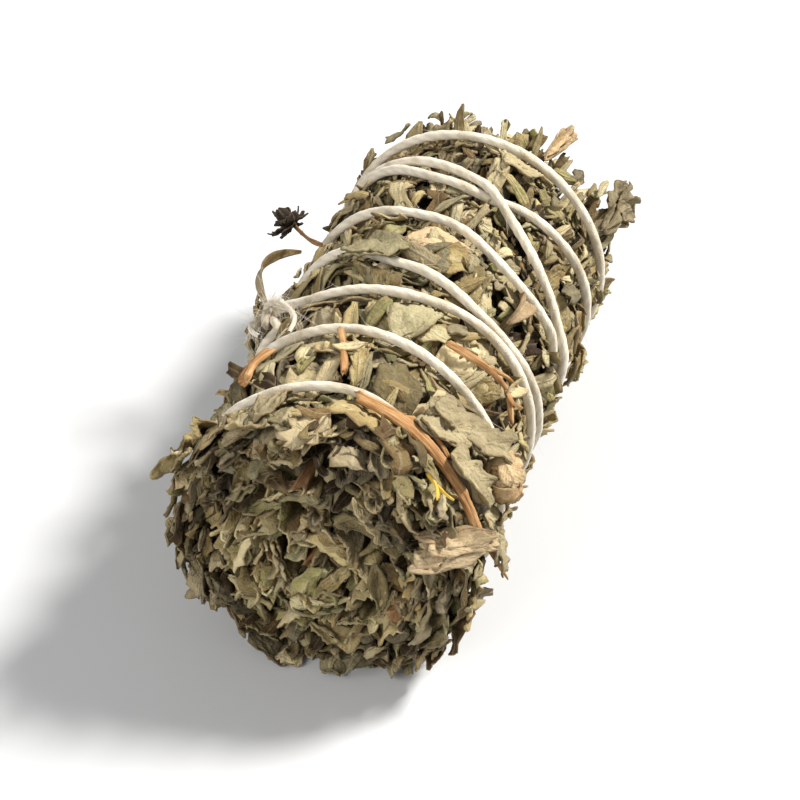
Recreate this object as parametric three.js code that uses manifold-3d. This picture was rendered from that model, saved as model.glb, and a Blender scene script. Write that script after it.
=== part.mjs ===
// A mugwort smudge stick: sprigs of dried mugwort pressed into a bundle and wound with cotton twine.
// Millimetres, +Z up. The bundle lies along Y, its cut end at -Y, and rests on the plane z = 0.

import * as THREE from 'three';
import { mergeVertices } from 'three/addons/utils/BufferGeometryUtils.js';
import Module from 'manifold-3d';

const wasm = await Module();
wasm.setup();

// ---------- Driving dimensions ----------

const LEAF_RADIUS = 21.9;       // leafy surface between two turns of twine
const TWINE_SEAT = 21.1;        // centre line of the twine, from the bundle's axis
const TWINE_RADIUS = 0.75;
const AXIS_HEIGHT = 20.2;       // the bundle sags flat where it lies, so this is less than its radius
const CUT_END = -43;            // mean ends of the leaves, along Y
const TIP_END = 43;
const CLEARANCE = 0.3;          // air left between two pieces that touch

const OUTER_SPRIGS = 6;
const CENTRE_RADIUS = 8;        // of the sprig in the middle of the bundle
const STEM_RADIUS = 1.1;
const FULL_TURN = 360;
const SECTOR = FULL_TURN / OUTER_SPRIGS;
const LAY_TWIST = 14;           // degrees that the sprigs turn about each other from end to end

// The twine's passes over the top, in the order it was wound from the knot:
// its place along the bundle at the left side, on the top and at the right side.
const PASS_ANGLES = [-75, 0, 75];
const PASSES = [
  [-7.0, -5.2, -4.6],
  [-15.1, -15.0, -18.7],
  [-29.6, -28.0, -27.6],
  [4.8, 1.4, -1.8],
  [14.9, 13.8, 9.7],
  [29.2, 23.5, 25.5],
  [34.8, 36.0, 34.2],
  [31.4, 26.3, 11.6],
];
const KNOT = { angle: -56, y: -6.4, radius: 22.9 };
const LAST_PASS = { angle: -75, y: -8.6 };

const COLOURS = {
  leaf: 0x8b8465,
  stem: 0xb27a4a,
  twine: 0xe9e2d3,
  bud: 0x5a4a36,
};

// ---------- Places on the bundle ----------

const radians = THREE.MathUtils.degToRad;
const degrees = THREE.MathUtils.radToDeg;

/** A point at an angle from the top towards +X, a place along the bundle and a distance from its axis. */
function onBundle(angle, y, radius) {
  const a = radians(angle);
  return new THREE.Vector3(radius * Math.sin(a), y, AXIS_HEIGHT + radius * Math.cos(a));
}

/** The same distance from the axis, cut short where the point would come below the given height. */
function restingRadius(angle, radius, lowest) {
  const down = -Math.cos(radians(angle));
  return down > 0 ? Math.min(radius, (AXIS_HEIGHT - lowest) / down) : radius;
}

/** A smooth hump of height 1 at 0 that has died away at 1 and -1. */
function hump(t) {
  return Math.abs(t) < 1 ? 0.5 * (1 + Math.cos(Math.PI * t)) : 0;
}

// ---------- Solids ----------

const SAME_PLACE = 1e-4;        // points nearer to each other than this are joined

/** The closed geometry as a solid that can be joined and cut. */
function toSolid(geometry) {
  const bare = geometry.index ? geometry.toNonIndexed() : geometry.clone();
  bare.deleteAttribute('normal');
  bare.deleteAttribute('uv');
  const merged = mergeVertices(bare, SAME_PLACE);
  const mesh = new wasm.Mesh({
    numProp: 3,
    vertProperties: merged.attributes.position.array,
    triVerts: new Uint32Array(merged.index.array),
  });
  return new wasm.Manifold(mesh);
}

const FINEST_DETAIL = 0.1;      // smaller slivers left by a cut are smoothed away

/** The largest single body of a solid, as a geometry: crumbs that a cut left loose are dropped. */
function toGeometry(solid) {
  const bodies = solid.simplify(FINEST_DETAIL).decompose();
  bodies.sort((a, b) => b.volume() - a.volume());
  const mesh = bodies[0].getMesh();
  const geometry = new THREE.BufferGeometry();
  geometry.setAttribute('position', new THREE.BufferAttribute(mesh.vertProperties, 3));
  geometry.setIndex(new THREE.BufferAttribute(mesh.triVerts, 1));
  geometry.computeVertexNormals();
  return geometry;
}

/** A closed skin over rings that all have the same number of points, with a fan over each end. */
function loft(rings) {
  const count = rings[0].length;
  const points = rings.flat();
  const faces = [];
  for (let r = 0; r + 1 < rings.length; r += 1) {
    for (let i = 0; i < count; i += 1) {
      const a = r * count + i;
      const b = r * count + ((i + 1) % count);
      faces.push(a, b, b + count, a, b + count, a + count);
    }
  }
  for (const end of [0, rings.length - 1]) {
    const middle = points.length;
    const ring = rings[end];
    points.push(ring.reduce((sum, p) => sum.add(p), new THREE.Vector3()).divideScalar(count));
    for (let i = 0; i < count; i += 1) {
      const a = end * count + i;
      const b = end * count + ((i + 1) % count);
      faces.push(...(end === 0 ? [middle, b, a] : [middle, a, b]));
    }
  }
  return outward(points, faces);
}

/** The geometry of these points and faces, with the faces turned to look outwards. */
function outward(points, faces) {
  let volume = 0;
  for (let f = 0; f < faces.length; f += 3) {
    const [a, b, c] = [points[faces[f]], points[faces[f + 1]], points[faces[f + 2]]];
    volume += a.dot(b.clone().cross(c));
  }
  const geometry = new THREE.BufferGeometry().setFromPoints(points);
  geometry.setIndex(volume > 0 ? faces : faces.slice().reverse());
  return geometry;
}

const DIVISIONS_A_POINT = 12;   // for measuring how far along its points a tube has come

/** A round tube along points, as an extruded polygon. */
function tube(points, radius, sides, steps) {
  const path = new THREE.CatmullRomCurve3(points, false, 'centripetal');
  path.arcLengthDivisions = points.length * DIVISIONS_A_POINT;
  const section = new THREE.Shape(
    Array.from({ length: sides }, (_, i) => {
      const a = (i / sides) * 2 * Math.PI;
      return new THREE.Vector2(radius * Math.cos(a), radius * Math.sin(a));
    }),
  );
  return new THREE.ExtrudeGeometry(section, { steps, extrudePath: path, bevelEnabled: false });
}

// ---------- Twine ----------

const STEPS_A_TURN = 16;
const TWINE_SIDES = 8;
const GROOVE_SIDES = 4;
const STRAND_SPACING = 2 * TWINE_RADIUS + CLEARANCE;
const CROSSING_REACH = 8;       // half the length over which one turn climbs across another
const PRESSED_SHARE = 0.6;      // of a crossing's height is made by the older turn, pressed in
const DEEPEST_SHIFT = 1.3 * STRAND_SPACING;
const TWINE_LOWEST = 0.95;      // of the centre line, so that the twine stays just off the surface
const DEGREE_LENGTH = 6;        // a millimetre counts as this many degrees when the route is smoothed
const KNOT_SIZE = 2.1;          // radius of the knot
const KNOT_STRETCH = [0.8, 1.15, 1];
const TAIL_STEPS = 3;           // between two points of a tail

/** The winding unrolled: angle, counted on from turn to turn, and place along the bundle. */
function windingRoute() {
  const route = [[KNOT.angle, KNOT.y]];
  PASSES.forEach((pass, turn) => {
    pass.forEach((y, i) => {
      if (turn > 0 || i > 0) route.push([PASS_ANGLES[i] + FULL_TURN * turn, y]);
    });
  });
  const end = FULL_TURN * PASSES.length;
  route.push([LAST_PASS.angle + end, LAST_PASS.y], [KNOT.angle + end, KNOT.y]);
  const spline = new THREE.SplineCurve(route.map(([a, y]) => new THREE.Vector2(a, y * DEGREE_LENGTH)));
  const points = spline.getSpacedPoints(STEPS_A_TURN * PASSES.length * 2);
  return points.map((p) => ({ angle: p.x, y: p.y / DEGREE_LENGTH }));
}

/** Where two stretches of the unrolled winding cross on the bundle, as a pair of places along the route. */
function crossings(route) {
  const found = [];
  for (let j = 0; j + 1 < route.length; j += 1) {
    for (let i = 0; i < j - STEPS_A_TURN; i += 1) {
      const turns = Math.round((route[j].angle - route[i].angle) / FULL_TURN);
      const a0 = route[i].angle + turns * FULL_TURN;
      const a1 = route[i + 1].angle + turns * FULL_TURN;
      if (a0 > route[j + 1].angle || a1 < route[j].angle) continue;
      const before = heightOver(route, i, turns, Math.max(a0, route[j].angle), j);
      const after = heightOver(route, i, turns, Math.min(a1, route[j + 1].angle), j);
      if (before * after < 0) found.push([i, j]);
    }
  }
  return found;
}

/** How far stretch j lies beyond stretch i along the bundle, at one angle. */
function heightOver(route, i, turns, angle, j) {
  const at = (k, shift) => {
    const [p, q] = [route[k], route[k + 1]];
    const t = (angle - shift - p.angle) / (q.angle - p.angle);
    return p.y + t * (q.y - p.y);
  };
  return at(j, 0) - at(i, turns * FULL_TURN);
}

/** The centre line of the winding. Where it crosses itself the older turn is pressed into the leaves. */
function windingPath() {
  const route = windingRoute();
  const shifts = route.map(() => 0);
  const stepLength = radians(route[1].angle - route[0].angle) * TWINE_SEAT;
  const spread = (at, by) => shifts.forEach((s, k) => {
    shifts[k] = s + by * hump(((k - at - 0.5) * stepLength) / CROSSING_REACH);
  });
  for (const [older, newer] of crossings(route)) {
    const underneath = Math.cos(radians(route[newer].angle)) < -0.5;
    const pressed = underneath ? 1 : PRESSED_SHARE;
    spread(older, -STRAND_SPACING * pressed);
    spread(newer, STRAND_SPACING * (1 - pressed));
  }
  return route.map(({ angle, y }, k) => {
    const toKnot = Math.min(k, route.length - 1 - k) * stepLength;
    const climb = (KNOT.radius - TWINE_SEAT) * hump(toKnot / CROSSING_REACH);
    const shift = Math.min(Math.max(shifts[k], -DEEPEST_SHIFT), STRAND_SPACING);
    const radius = TWINE_SEAT + shift + climb;
    return onBundle(angle, y, restingRadius(angle, radius, TWINE_LOWEST));
  });
}

// The two tails leave the knot: points by angle, place along the bundle and distance from its axis.
const TAIL_ROUTES = [
  [[-56, -6.4, 22.9], [-50, -8.2, 24.6], [-43, -9.6, 24.9],
    [-36, -11.6, 24.2], [-31, -14.4, 23.4], [-31, -17.2, 23.0]],
  [[-56, -6.4, 22.9], [-58, -9.4, 24.4], [-54, -12.4, 24.2], [-48, -14.8, 23.4]],
];

function knotLump(radius) {
  const lump = new THREE.IcosahedronGeometry(radius, 1);
  lump.scale(...KNOT_STRETCH);
  const place = onBundle(KNOT.angle, KNOT.y, KNOT.radius);
  lump.translate(place.x, place.y, place.z);
  return lump;
}

/** The twine with its knot and two tails: true size, or fattened by the clearance to cut its groove. */
function twineSolid(extra) {
  const radius = TWINE_RADIUS + extra;
  const path = windingPath();
  const sides = extra > 0 ? GROOVE_SIDES : TWINE_SIDES;
  const fit = extra > 0 ? 1 / Math.cos(Math.PI / sides) : 1;
  let solid = toSolid(tube(path, radius * fit, sides, STEPS_A_TURN * PASSES.length));
  for (const route of TAIL_ROUTES) {
    const points = route.map(([angle, y, r]) => onBundle(angle, y, r));
    solid = solid.add(toSolid(tube(points, radius * fit, sides, points.length * TAIL_STEPS)));
  }
  return solid.add(toSolid(knotLump(KNOT_SIZE + extra)));
}

// ---------- Sprigs ----------

const RING_SPACING = 4.8;
const CREASE_DEPTH = 1.6;       // between two neighbouring sprigs
const CREASE_SHARPNESS = 6;
const FLARE = 1.1;              // the leaves spread beyond the last turns of twine
const FLARE_REACH = { cut: 14, tip: 8 };
const ROUNDING = 2.6;           // of the edges at both ends
const ROUNDING_REACH = 5;
const SPRIG_GAP = 0.8 * CLEARANCE;
const CENTRE_SHORTER = { cut: 1.5, tip: 0.5 };
const ARC_POINTS = 8;
const INNER_POINTS = 4;

/** The leafy surface's distance from the axis, lumpy, creased between sprigs and flared at both ends. */
function leafRadius(angle, y, acrossSector) {
  const a = radians(angle);
  const lumps = 0.45 * Math.sin(5 * a + 0.21 * y) + 0.4 * Math.sin(3 * a - 0.33 * y + 1.3)
    + 0.35 * Math.sin(9 * a + 0.12 * y + 2.1) * Math.cos(0.4 * y);
  const flare = FLARE * (hump((y - CUT_END) / FLARE_REACH.cut) + 0.6 * hump((y - TIP_END) / FLARE_REACH.tip));
  const rounding = -ROUNDING * (hump((y - CUT_END) / ROUNDING_REACH) + hump((y - TIP_END) / ROUNDING_REACH));
  const crease = -CREASE_DEPTH * (Math.abs(2 * acrossSector - 1) ** CREASE_SHARPNESS);
  return LEAF_RADIUS + lumps + flare + rounding + crease;
}

function twistAt(y) {
  return (LAY_TWIST * y) / (TIP_END - CUT_END);
}

/** Where the ragged end of a sprig lies at one angle. */
function raggedEnd(mean, sprig, angle) {
  const a = radians(angle);
  return mean + 1.3 * Math.sin(4 * a + 2.4 * sprig) + 0.8 * Math.sin(11 * a + sprig);
}

/** Places along Y for the rings of a sprig. */
function ringPlaces() {
  const count = Math.round((TIP_END - CUT_END) / RING_SPACING);
  return Array.from({ length: count + 1 }, (_, i) => i / count);
}

/** One outer sprig: a wedge of leaves between the centre sprig and the bundle's surface. */
function outerSprig(index) {
  const first = index * SECTOR - SECTOR / 2;
  const rings = ringPlaces().map((along) => {
    const ring = [];
    const place = (angle, radius) => {
      const near = raggedEnd(CUT_END, index, angle);
      const far = raggedEnd(TIP_END, index, angle + 90);
      const y = near + along * (far - near);
      const turned = angle + twistAt(y);
      ring.push(onBundle(turned, y, restingRadius(turned, radius(turned, y), 0)));
    };
    const arc = (points, reversed, radius) => {
      for (let i = 0; i < points; i += 1) {
        const t = i / (points - 1);
        const across = reversed ? 1 - t : t;
        const margin = degrees(SPRIG_GAP / radius(first, 0, 0.5));
        const angle = first + margin + across * (SECTOR - 2 * margin);
        place(angle, (turned, y) => radius(turned, y, across));
      }
    };
    arc(ARC_POINTS, false, leafRadius);
    arc(INNER_POINTS, true, () => CENTRE_RADIUS + 2 * CLEARANCE);
    return ring;
  });
  return toSolid(loft(rings));
}

/** The sprig in the middle, seen only at the two ends of the bundle. */
function centreSprig() {
  const sides = OUTER_SPRIGS * (INNER_POINTS - 1);
  const rings = ringPlaces().map((along) => Array.from({ length: sides }, (_, i) => {
    const angle = (i * FULL_TURN) / sides - SECTOR / 2;
    const start = CUT_END + CENTRE_SHORTER.cut;
    const y = start + along * (TIP_END - CENTRE_SHORTER.tip - start);
    return onBundle(angle + twistAt(y), y, CENTRE_RADIUS - CLEARANCE * Math.sin(3 * radians(angle) + y));
  }));
  return toSolid(loft(rings));
}

// ---------- Woody stems inside the sprigs ----------

const STEM_CENTRES = 14.2;      // of the outer stems, from the axis
const STEM_WAVE = 0.8;          // how far their distance from the axis changes
const STEM_SWAY = 2.2;          // degrees to both sides
const CENTRE_STEM_SWAY = 1.4;   // millimetres
const STEM_SIDES = 6;
const STEM_STEPS = 8;
const STEM_POINTS = 8;
const STEM_LENGTH = 70;
const STEM_START = 2.4;         // how far inside the cut end the stems begin
const BORE_REACH = 8;           // takes each stem's bore out through the cut end

/** The centre line of a stem. The last one runs down the middle of the bundle. */
function stemPoints(index) {
  const centre = index === OUTER_SPRIGS;
  const length = STEM_LENGTH + 3 * Math.sin(2.6 * index);
  const start = CUT_END + STEM_START - 0.9 * Math.cos(3.1 * index);
  return Array.from({ length: STEM_POINTS }, (_, i) => {
    const y = start + (length * i) / (STEM_POINTS - 1);
    if (centre) return onBundle(index * SECTOR + twistAt(y), y, CENTRE_STEM_SWAY * Math.sin(0.08 * y));
    const sway = STEM_SWAY * Math.sin(0.09 * y + 1.9 * index);
    const radius = STEM_CENTRES + STEM_WAVE * Math.sin(0.07 * y + index);
    return onBundle(index * SECTOR + twistAt(y) + sway, y, radius);
  });
}

/** The room for a stem: its own shape with some air round it, and a mouth that opens at the cut end. */
function stemBore(index) {
  const points = stemPoints(index);
  const mouth = [points[0].clone().setY(points[0].y - BORE_REACH), points[0], points[1]];
  const radius = STEM_RADIUS + CLEARANCE;
  const bore = toSolid(tube(points, radius, STEM_SIDES, STEM_STEPS));
  return bore.add(toSolid(tube(mouth, radius, STEM_SIDES, STEM_STEPS)));
}

// ---------- Twigs, buds and loose leaves on the outside ----------

// Each twig is a list of points by angle, place along the bundle and distance from its axis.
const TWIGS = [
  { name: 'twig_top', radius: 0.65, points: [[-10, -17.4, 22.3], [-5, -21.5, 22.6], [-1, -25.9, 22.3]] },
  { name: 'twig_left', radius: 0.8, points: [[-42, -26.2, 22.9], [-41, -22.8, 23.1], [-38, -19.4, 22.5]] },
  { name: 'twig_long', radius: 0.85,
    points: [[9, -30.4, 22.6], [26, -31.8, 23.2], [44, -33.4, 23.3], [60, -34.6, 23.2], [74, -35.6, 23.4]] },
  { name: 'twig_forked', radius: 0.45,
    points: [[28, -12.6, 22.5], [43, -12.0, 22.8], [56, -11.6, 22.8], [65, -14.4, 22.7]] },
  { name: 'twig_low', radius: 0.4, points: [[93, -29.8, 22.6], [100, -29.4, 24.0], [105, -28.9, 25.6]] },
  { name: 'yellow_shoot', radius: 0.35, points: [[42, -36.8, 23.0], [45, -38.6, 24.2], [47, -40.6, 24.6]] },
  { name: 'bud_stalk', radius: 0.4,
    points: [[-50, 10.4, 22.4], [-57, 12.8, 23.6], [-61, 15.0, 25.6], [-62, 16.2, 27.4]] },
];

// A leaf rolled up into a thick quill that stands out past the rim of the cut end.
const ROLLED_LEAF = {
  name: 'leaf_near_rolled', radius: 1.6,
  points: [[64, -42.3, 17.6], [67, -40.2, 21], [71, -38, 24.6], [73, -36.8, 26.4]],
};

const BUDS = [
  { name: 'dark_bud', size: [2.1, 2.4, 2.1], at: [-62, 16.6, 28.3] },
  { name: 'leaf_ball', size: [3.9, 4.4, 3.9], at: [69, -25.4, 25.2] },
];

// Each leaf: where its middle lies, which way it points from the bundle's length, its size,
// how far its middle stands above the leafy surface, and how far its tip curls up.
const LEAVES = [
  { name: 'leaf_top_tan', angle: 6, y: 7.6, turn: 62, size: [11, 5], lift: 0.7, curl: 0.3 },
  { name: 'leaf_top_edge', angle: -14, y: 1.2, turn: 78, size: [12, 5.5], lift: 1.6, curl: 0.2 },
  { name: 'leaf_green', angle: 14, y: -10.2, turn: 40, size: [9, 5], lift: 0.7, curl: 0.4 },
  { name: 'leaf_orange_fold', angle: 47, y: 4.2, turn: 8, size: [9, 4], lift: 1.3, curl: 0.4 },
  { name: 'leaf_right_fold', angle: 60, y: -9, turn: 20, size: [7, 3.6], lift: 1.0, curl: 0.3 },
  { name: 'leaf_over_twine', angle: 47, y: -25.2, turn: 74, size: [13, 6], lift: 1.7, curl: 0.2 },
  { name: 'leaf_cover_upper', angle: 38, y: -29.6, turn: 66, size: [10, 5.2], lift: 1.9, curl: 0.3 },
  { name: 'leaf_cover_lower', angle: 57, y: -30.6, turn: 84, size: [10, 5.4], lift: 2.1, curl: 0.4 },
  { name: 'leaf_cover_side', angle: 84, y: -30.6, turn: 78, size: [11, 5], lift: 1.9, curl: 0.4 },
  { name: 'leaf_left_long', angle: -70, y: 7.6, turn: -4, size: [17, 2.6], lift: 5.6, curl: -4.8 },
  { name: 'leaf_left_clump', angle: -76, y: 0.2, turn: 20, size: [12, 6], lift: 1.9, curl: 1.4 },
  { name: 'leaf_left_low', angle: -98, y: 8.4, turn: 30, size: [10, 4.6], lift: 1.0, curl: 0.8 },
  { name: 'leaf_near_flap', angle: -22, y: -36.2, turn: 30, size: [11, 5.4], lift: 1.2, curl: 1.2 },
  { name: 'leaf_near_left', angle: -62, y: -35.6, turn: -28, size: [12, 5.4], lift: 1.2, curl: 1.0 },
  { name: 'leaf_tip_curled', angle: 30, y: 39.9, turn: 10, size: [6, 4], lift: 1.5, curl: 1.6 },
  { name: 'leaf_tip_right', angle: 68, y: 40.2, turn: -16, size: [8, 5.5], lift: 1.6, curl: 1.4 },
  { name: 'leaf_back_left', angle: -112, y: 24.6, turn: 16, size: [11, 5], lift: 1.1, curl: 0.6 },
  { name: 'leaf_right_side', angle: 112, y: 0.6, turn: -22, size: [11, 5], lift: 1.1, curl: 0.6 },
  { name: 'leaf_right_far', angle: 108, y: 20.6, turn: 24, size: [10, 4.8], lift: 1.1, curl: 0.6 },
  { name: 'leaf_top_far', angle: 24, y: 31.2, turn: 70, size: [9, 4.4], lift: 0.9, curl: 0.3 },
];
const TWIG_SIDES = 5;
const LEAF_THICKNESS = 0.5;
const LEAF_STEPS = 5;
const NARROWEST = 0.18;         // of a leaf's width, left at its two ends
const EDGE_RISE = 0.35;         // of a leaf's long edges over its middle
const WAVE = 0.25;              // height of the wave along a leaf
const BUD_LUMPS = 0.1;          // as a share of a bud's size

/** A loose leaf: a thin plate with pointed ends that follows the bundle's surface, its edges raised. */
function leafGeometry(leaf, extra) {
  const [length, width] = leaf.size;
  const heading = radians(leaf.turn);
  const across = [-1, 0, 1];
  const at = (t, v, side) => {
    const along = (t - 0.5) * (length + 2 * extra);
    const half = (width / 2) * (NARROWEST + (1 - NARROWEST) * Math.sin(Math.PI * t) ** 0.7) + extra;
    const sideways = v * half;
    const distance = along * Math.cos(heading) - sideways * Math.sin(heading);
    const round = along * Math.sin(heading) + sideways * Math.cos(heading);
    const wave = WAVE * Math.sin(5 * t + leaf.y);
    const rise = leaf.lift + leaf.curl * (2 * t - 1) ** 2 + EDGE_RISE * v * v + wave;
    const radius = LEAF_RADIUS + rise + side * (LEAF_THICKNESS / 2 + extra);
    return onBundle(leaf.angle + degrees(round / LEAF_RADIUS), leaf.y + distance, radius);
  };
  const rings = Array.from({ length: LEAF_STEPS + 1 }, (_, i) => {
    const t = i / LEAF_STEPS;
    return [...across.map((v) => at(t, v, 1)), ...across.toReversed().map((v) => at(t, v, -1))];
  });
  return loft(rings);
}

function twigGeometry(twig, extra) {
  const points = twig.points.map(([angle, y, radius]) => onBundle(angle, y, radius));
  return tube(points, twig.radius + extra, TWIG_SIDES, points.length * 2 - 1);
}

/** A bud or a rolled leaf: a small lumpy ball. */
function budGeometry(bud, extra) {
  const ball = new THREE.IcosahedronGeometry(1, 2);
  const position = ball.attributes.position;
  const point = new THREE.Vector3();
  const centre = onBundle(...bud.at);
  for (let i = 0; i < position.count; i += 1) {
    point.fromBufferAttribute(position, i);
    const lump = 1 + BUD_LUMPS * Math.sin(4 * point.x + 3 * point.y) * Math.cos(5 * point.z);
    const [x, y, z] = [point.x, point.y, point.z].map((v, k) => v * (bud.size[k] * lump + extra));
    position.setXYZ(i, centre.x + x, centre.y + y, centre.z + z);
  }
  return ball;
}

// ---------- Assembly ----------

const bundle = new THREE.Group();

function addPiece(name, geometry, colour, roughness = 0.95) {
  const material = new THREE.MeshStandardMaterial({ color: colour, roughness, metalness: 0 });
  const mesh = new THREE.Mesh(geometry, material);
  mesh.name = name;
  bundle.add(mesh);
}

const twineGroove = twineSolid(CLEARANCE);
addPiece('twine', toGeometry(twineSolid(0)), COLOURS.twine);

// The pieces on the outside each make room for themselves in whatever lies under them.
let taken = twineGroove;
const outside = [
  ...TWIGS.map((twig) => [twig.name, (extra) => twigGeometry(twig, extra), COLOURS.stem]),
  [ROLLED_LEAF.name, (extra) => twigGeometry(ROLLED_LEAF, extra), COLOURS.leaf],
  ...BUDS.map((bud) => [bud.name, (extra) => budGeometry(bud, extra), COLOURS.bud]),
  ...LEAVES.map((leaf) => [leaf.name, (extra) => leafGeometry(leaf, extra), COLOURS.leaf]),
];
for (const [name, shape, colour] of outside) {
  addPiece(name, toGeometry(toSolid(shape(0)).subtract(taken)), colour);
  taken = taken.add(toSolid(shape(CLEARANCE)));
}

const sprigs = Array.from({ length: OUTER_SPRIGS }, (_, i) => outerSprig(i));
sprigs.push(centreSprig());
sprigs.forEach((sprig, i) => {
  const name = i < OUTER_SPRIGS ? `sprig_${i + 1}` : 'sprig_centre';
  const stemName = i < OUTER_SPRIGS ? `stem_${i + 1}` : 'stem_centre';
  const stem = toSolid(tube(stemPoints(i), STEM_RADIUS, STEM_SIDES, STEM_STEPS));
  addPiece(name, toGeometry(sprig.subtract(taken).subtract(stemBore(i))), COLOURS.leaf);
  addPiece(stemName, toGeometry(stem), COLOURS.stem);
});

export default bundle;
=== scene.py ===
"""The looks of a mugwort smudge stick: dried leaves pressed into a bundle and wound with cotton twine.

Shapes are worked out in millimetres in the frame's own axes, the bundle lying along Y, and are
turned into metres when a mesh is made. Angles round the bundle are degrees from the top towards +X.
"""

import math

import bpy
import numpy as np
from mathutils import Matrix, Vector


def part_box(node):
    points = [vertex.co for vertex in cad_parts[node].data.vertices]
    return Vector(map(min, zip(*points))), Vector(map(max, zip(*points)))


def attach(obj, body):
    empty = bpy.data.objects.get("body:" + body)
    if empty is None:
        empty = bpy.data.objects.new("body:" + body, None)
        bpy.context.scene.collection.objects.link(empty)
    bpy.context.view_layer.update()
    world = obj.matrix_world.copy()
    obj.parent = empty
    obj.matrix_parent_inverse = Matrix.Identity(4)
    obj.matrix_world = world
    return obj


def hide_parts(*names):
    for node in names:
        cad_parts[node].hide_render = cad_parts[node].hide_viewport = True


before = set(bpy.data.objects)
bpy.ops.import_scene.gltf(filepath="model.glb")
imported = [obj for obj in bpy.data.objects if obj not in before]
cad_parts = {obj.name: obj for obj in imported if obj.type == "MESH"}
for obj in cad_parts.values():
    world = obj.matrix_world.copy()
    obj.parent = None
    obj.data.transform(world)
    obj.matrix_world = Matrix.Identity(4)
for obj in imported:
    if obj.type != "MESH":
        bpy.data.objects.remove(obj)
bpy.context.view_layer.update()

MM = 0.001

# ---------- Driving dimensions, in millimetres ----------

TWINE_SEAT = 21.1        # centre line of the twine, from the bundle's axis
TWINE_RADIUS = 0.75
LEAF_RADIUS = 21.9       # leafy surface between two turns of twine
HEART_RADIUS = 16.6      # under this the leaves are too deep to be seen one by one
LAY_TWIST = 14.0         # degrees that the sprigs turn about each other from end to end
OUTER_SPRIGS = 6
FULL_TURN = 360.0
SECTOR = FULL_TURN / OUTER_SPRIGS


def box_mm(node):
    """A node's lowest and highest corner in millimetres."""
    low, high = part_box(node)
    return np.array(low) / MM, np.array(high) / MM


CENTRE_LOW, CENTRE_HIGH = box_mm("sprig_centre")
AXIS_HEIGHT = (CENTRE_LOW[2] + CENTRE_HIGH[2]) / 2
CENTRE_SHORTER = (1.5, 0.5)      # than the sprigs round it, at the cut end and at the tips
CUT_END = CENTRE_LOW[1] - CENTRE_SHORTER[0]
TIP_END = CENTRE_HIGH[1] + CENTRE_SHORTER[1]
LENGTH = TIP_END - CUT_END

# The twine's passes over the top, in the order it was wound from the knot:
# its place along the bundle at the left side, on the top and at the right side.
PASS_ANGLES = (-75, 0, 75)
PASSES = (
    (-7.0, -5.2, -4.6),
    (-15.1, -15.0, -18.7),
    (-29.6, -28.0, -27.6),
    (4.8, 1.4, -1.8),
    (14.9, 13.8, 9.7),
    (29.2, 23.5, 25.5),
    (34.8, 36.0, 34.2),
    (31.4, 26.3, 11.6),
)
KNOT_ANGLE, KNOT_Y, KNOT_RADIUS = -56, -6.4, 22.9
LAST_ANGLE, LAST_Y = -75, -8.6
TAIL_ROUTES = (
    ((-56, -6.4, 22.9), (-50, -8.2, 24.6), (-43, -9.6, 24.9), (-36, -11.6, 24.2),
     (-31, -14.4, 23.4), (-31, -17.2, 23.0)),
    ((-56, -6.4, 22.9), (-58, -9.4, 24.4), (-54, -12.4, 24.2), (-48, -14.8, 23.4)),
)


# The random generators' seeds: a sprig's and a loose leaf's number is added to its own.
SPRIG_SEED, CENTRE_SEED, LOOSE_SEED = 100, 200, 300
TWINE_SEED, BALL_SEED, BUD_SEED, SHEAF_SEED = 7, 41, 42, 43


# ---------- Places on the bundle ----------

def on_bundle(angle, y, radius):
    """Points at angles, places along the bundle and distances from its axis."""
    a = np.radians(angle)
    return np.stack(np.broadcast_arrays(radius * np.sin(a), y, AXIS_HEIGHT + radius * np.cos(a)), -1)


def off_bundle(points):
    """The angle, place along the bundle and distance from its axis of points."""
    x, z = points[..., 0], points[..., 2] - AXIS_HEIGHT
    return np.degrees(np.arctan2(x, z)), points[..., 1], np.hypot(x, z)


def outward_at(angle):
    """The unit vector that points straight out of the bundle at an angle."""
    return on_bundle(angle, 0, 1.0) - on_bundle(angle, 0, 0.0)


def unit(vectors):
    """The same vectors made 1 long."""
    return vectors / np.linalg.norm(vectors, axis=-1, keepdims=True)


def each(values):
    """One value for each leaf of a batch, made to fit the leaves' grids of points."""
    return values[:, None, None]


def hump(t):
    """A smooth hump of height 1 at 0 that has died away at 1 and -1."""
    return np.where(np.abs(t) < 1, 0.5 * (1 + np.cos(np.pi * np.clip(t, -1, 1))), 0.0)


def smooth_step(t):
    """Rises smoothly from 0 at 0 to 1 at 1."""
    t = np.clip(t, 0, 1)
    return t * t * (3 - 2 * t)


# ---------- The twine's route ----------

TWINE_SPACING = 0.55             # between two rings of the twine's mesh
STRAND_SPACING = 2 * TWINE_RADIUS + 0.1
CROSSING_REACH = 8.0             # half the length over which one turn climbs across another
TWINE_LOWEST = 0.95              # of the centre line, so that the twine stays just off the floor
UNROLLED_STRETCH = 6.0           # a millimetre counts as this many degrees on the unrolled route
PASS_SAMPLES, PLACE_SAMPLES = 60, 12  # of a curve between two points, for the winding and other routes
ROUTE_STEP = 2.0                 # between two points of the unrolled route, in degrees
PRESSED_SHARE = 0.6              # of a crossing's height is made by the older turn, pressed in
DEEPEST_SHIFT = 1.3 * STRAND_SPACING
UNDERNEATH = -0.5                # cosine of a place's angle from the top, below which it is underneath


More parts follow.
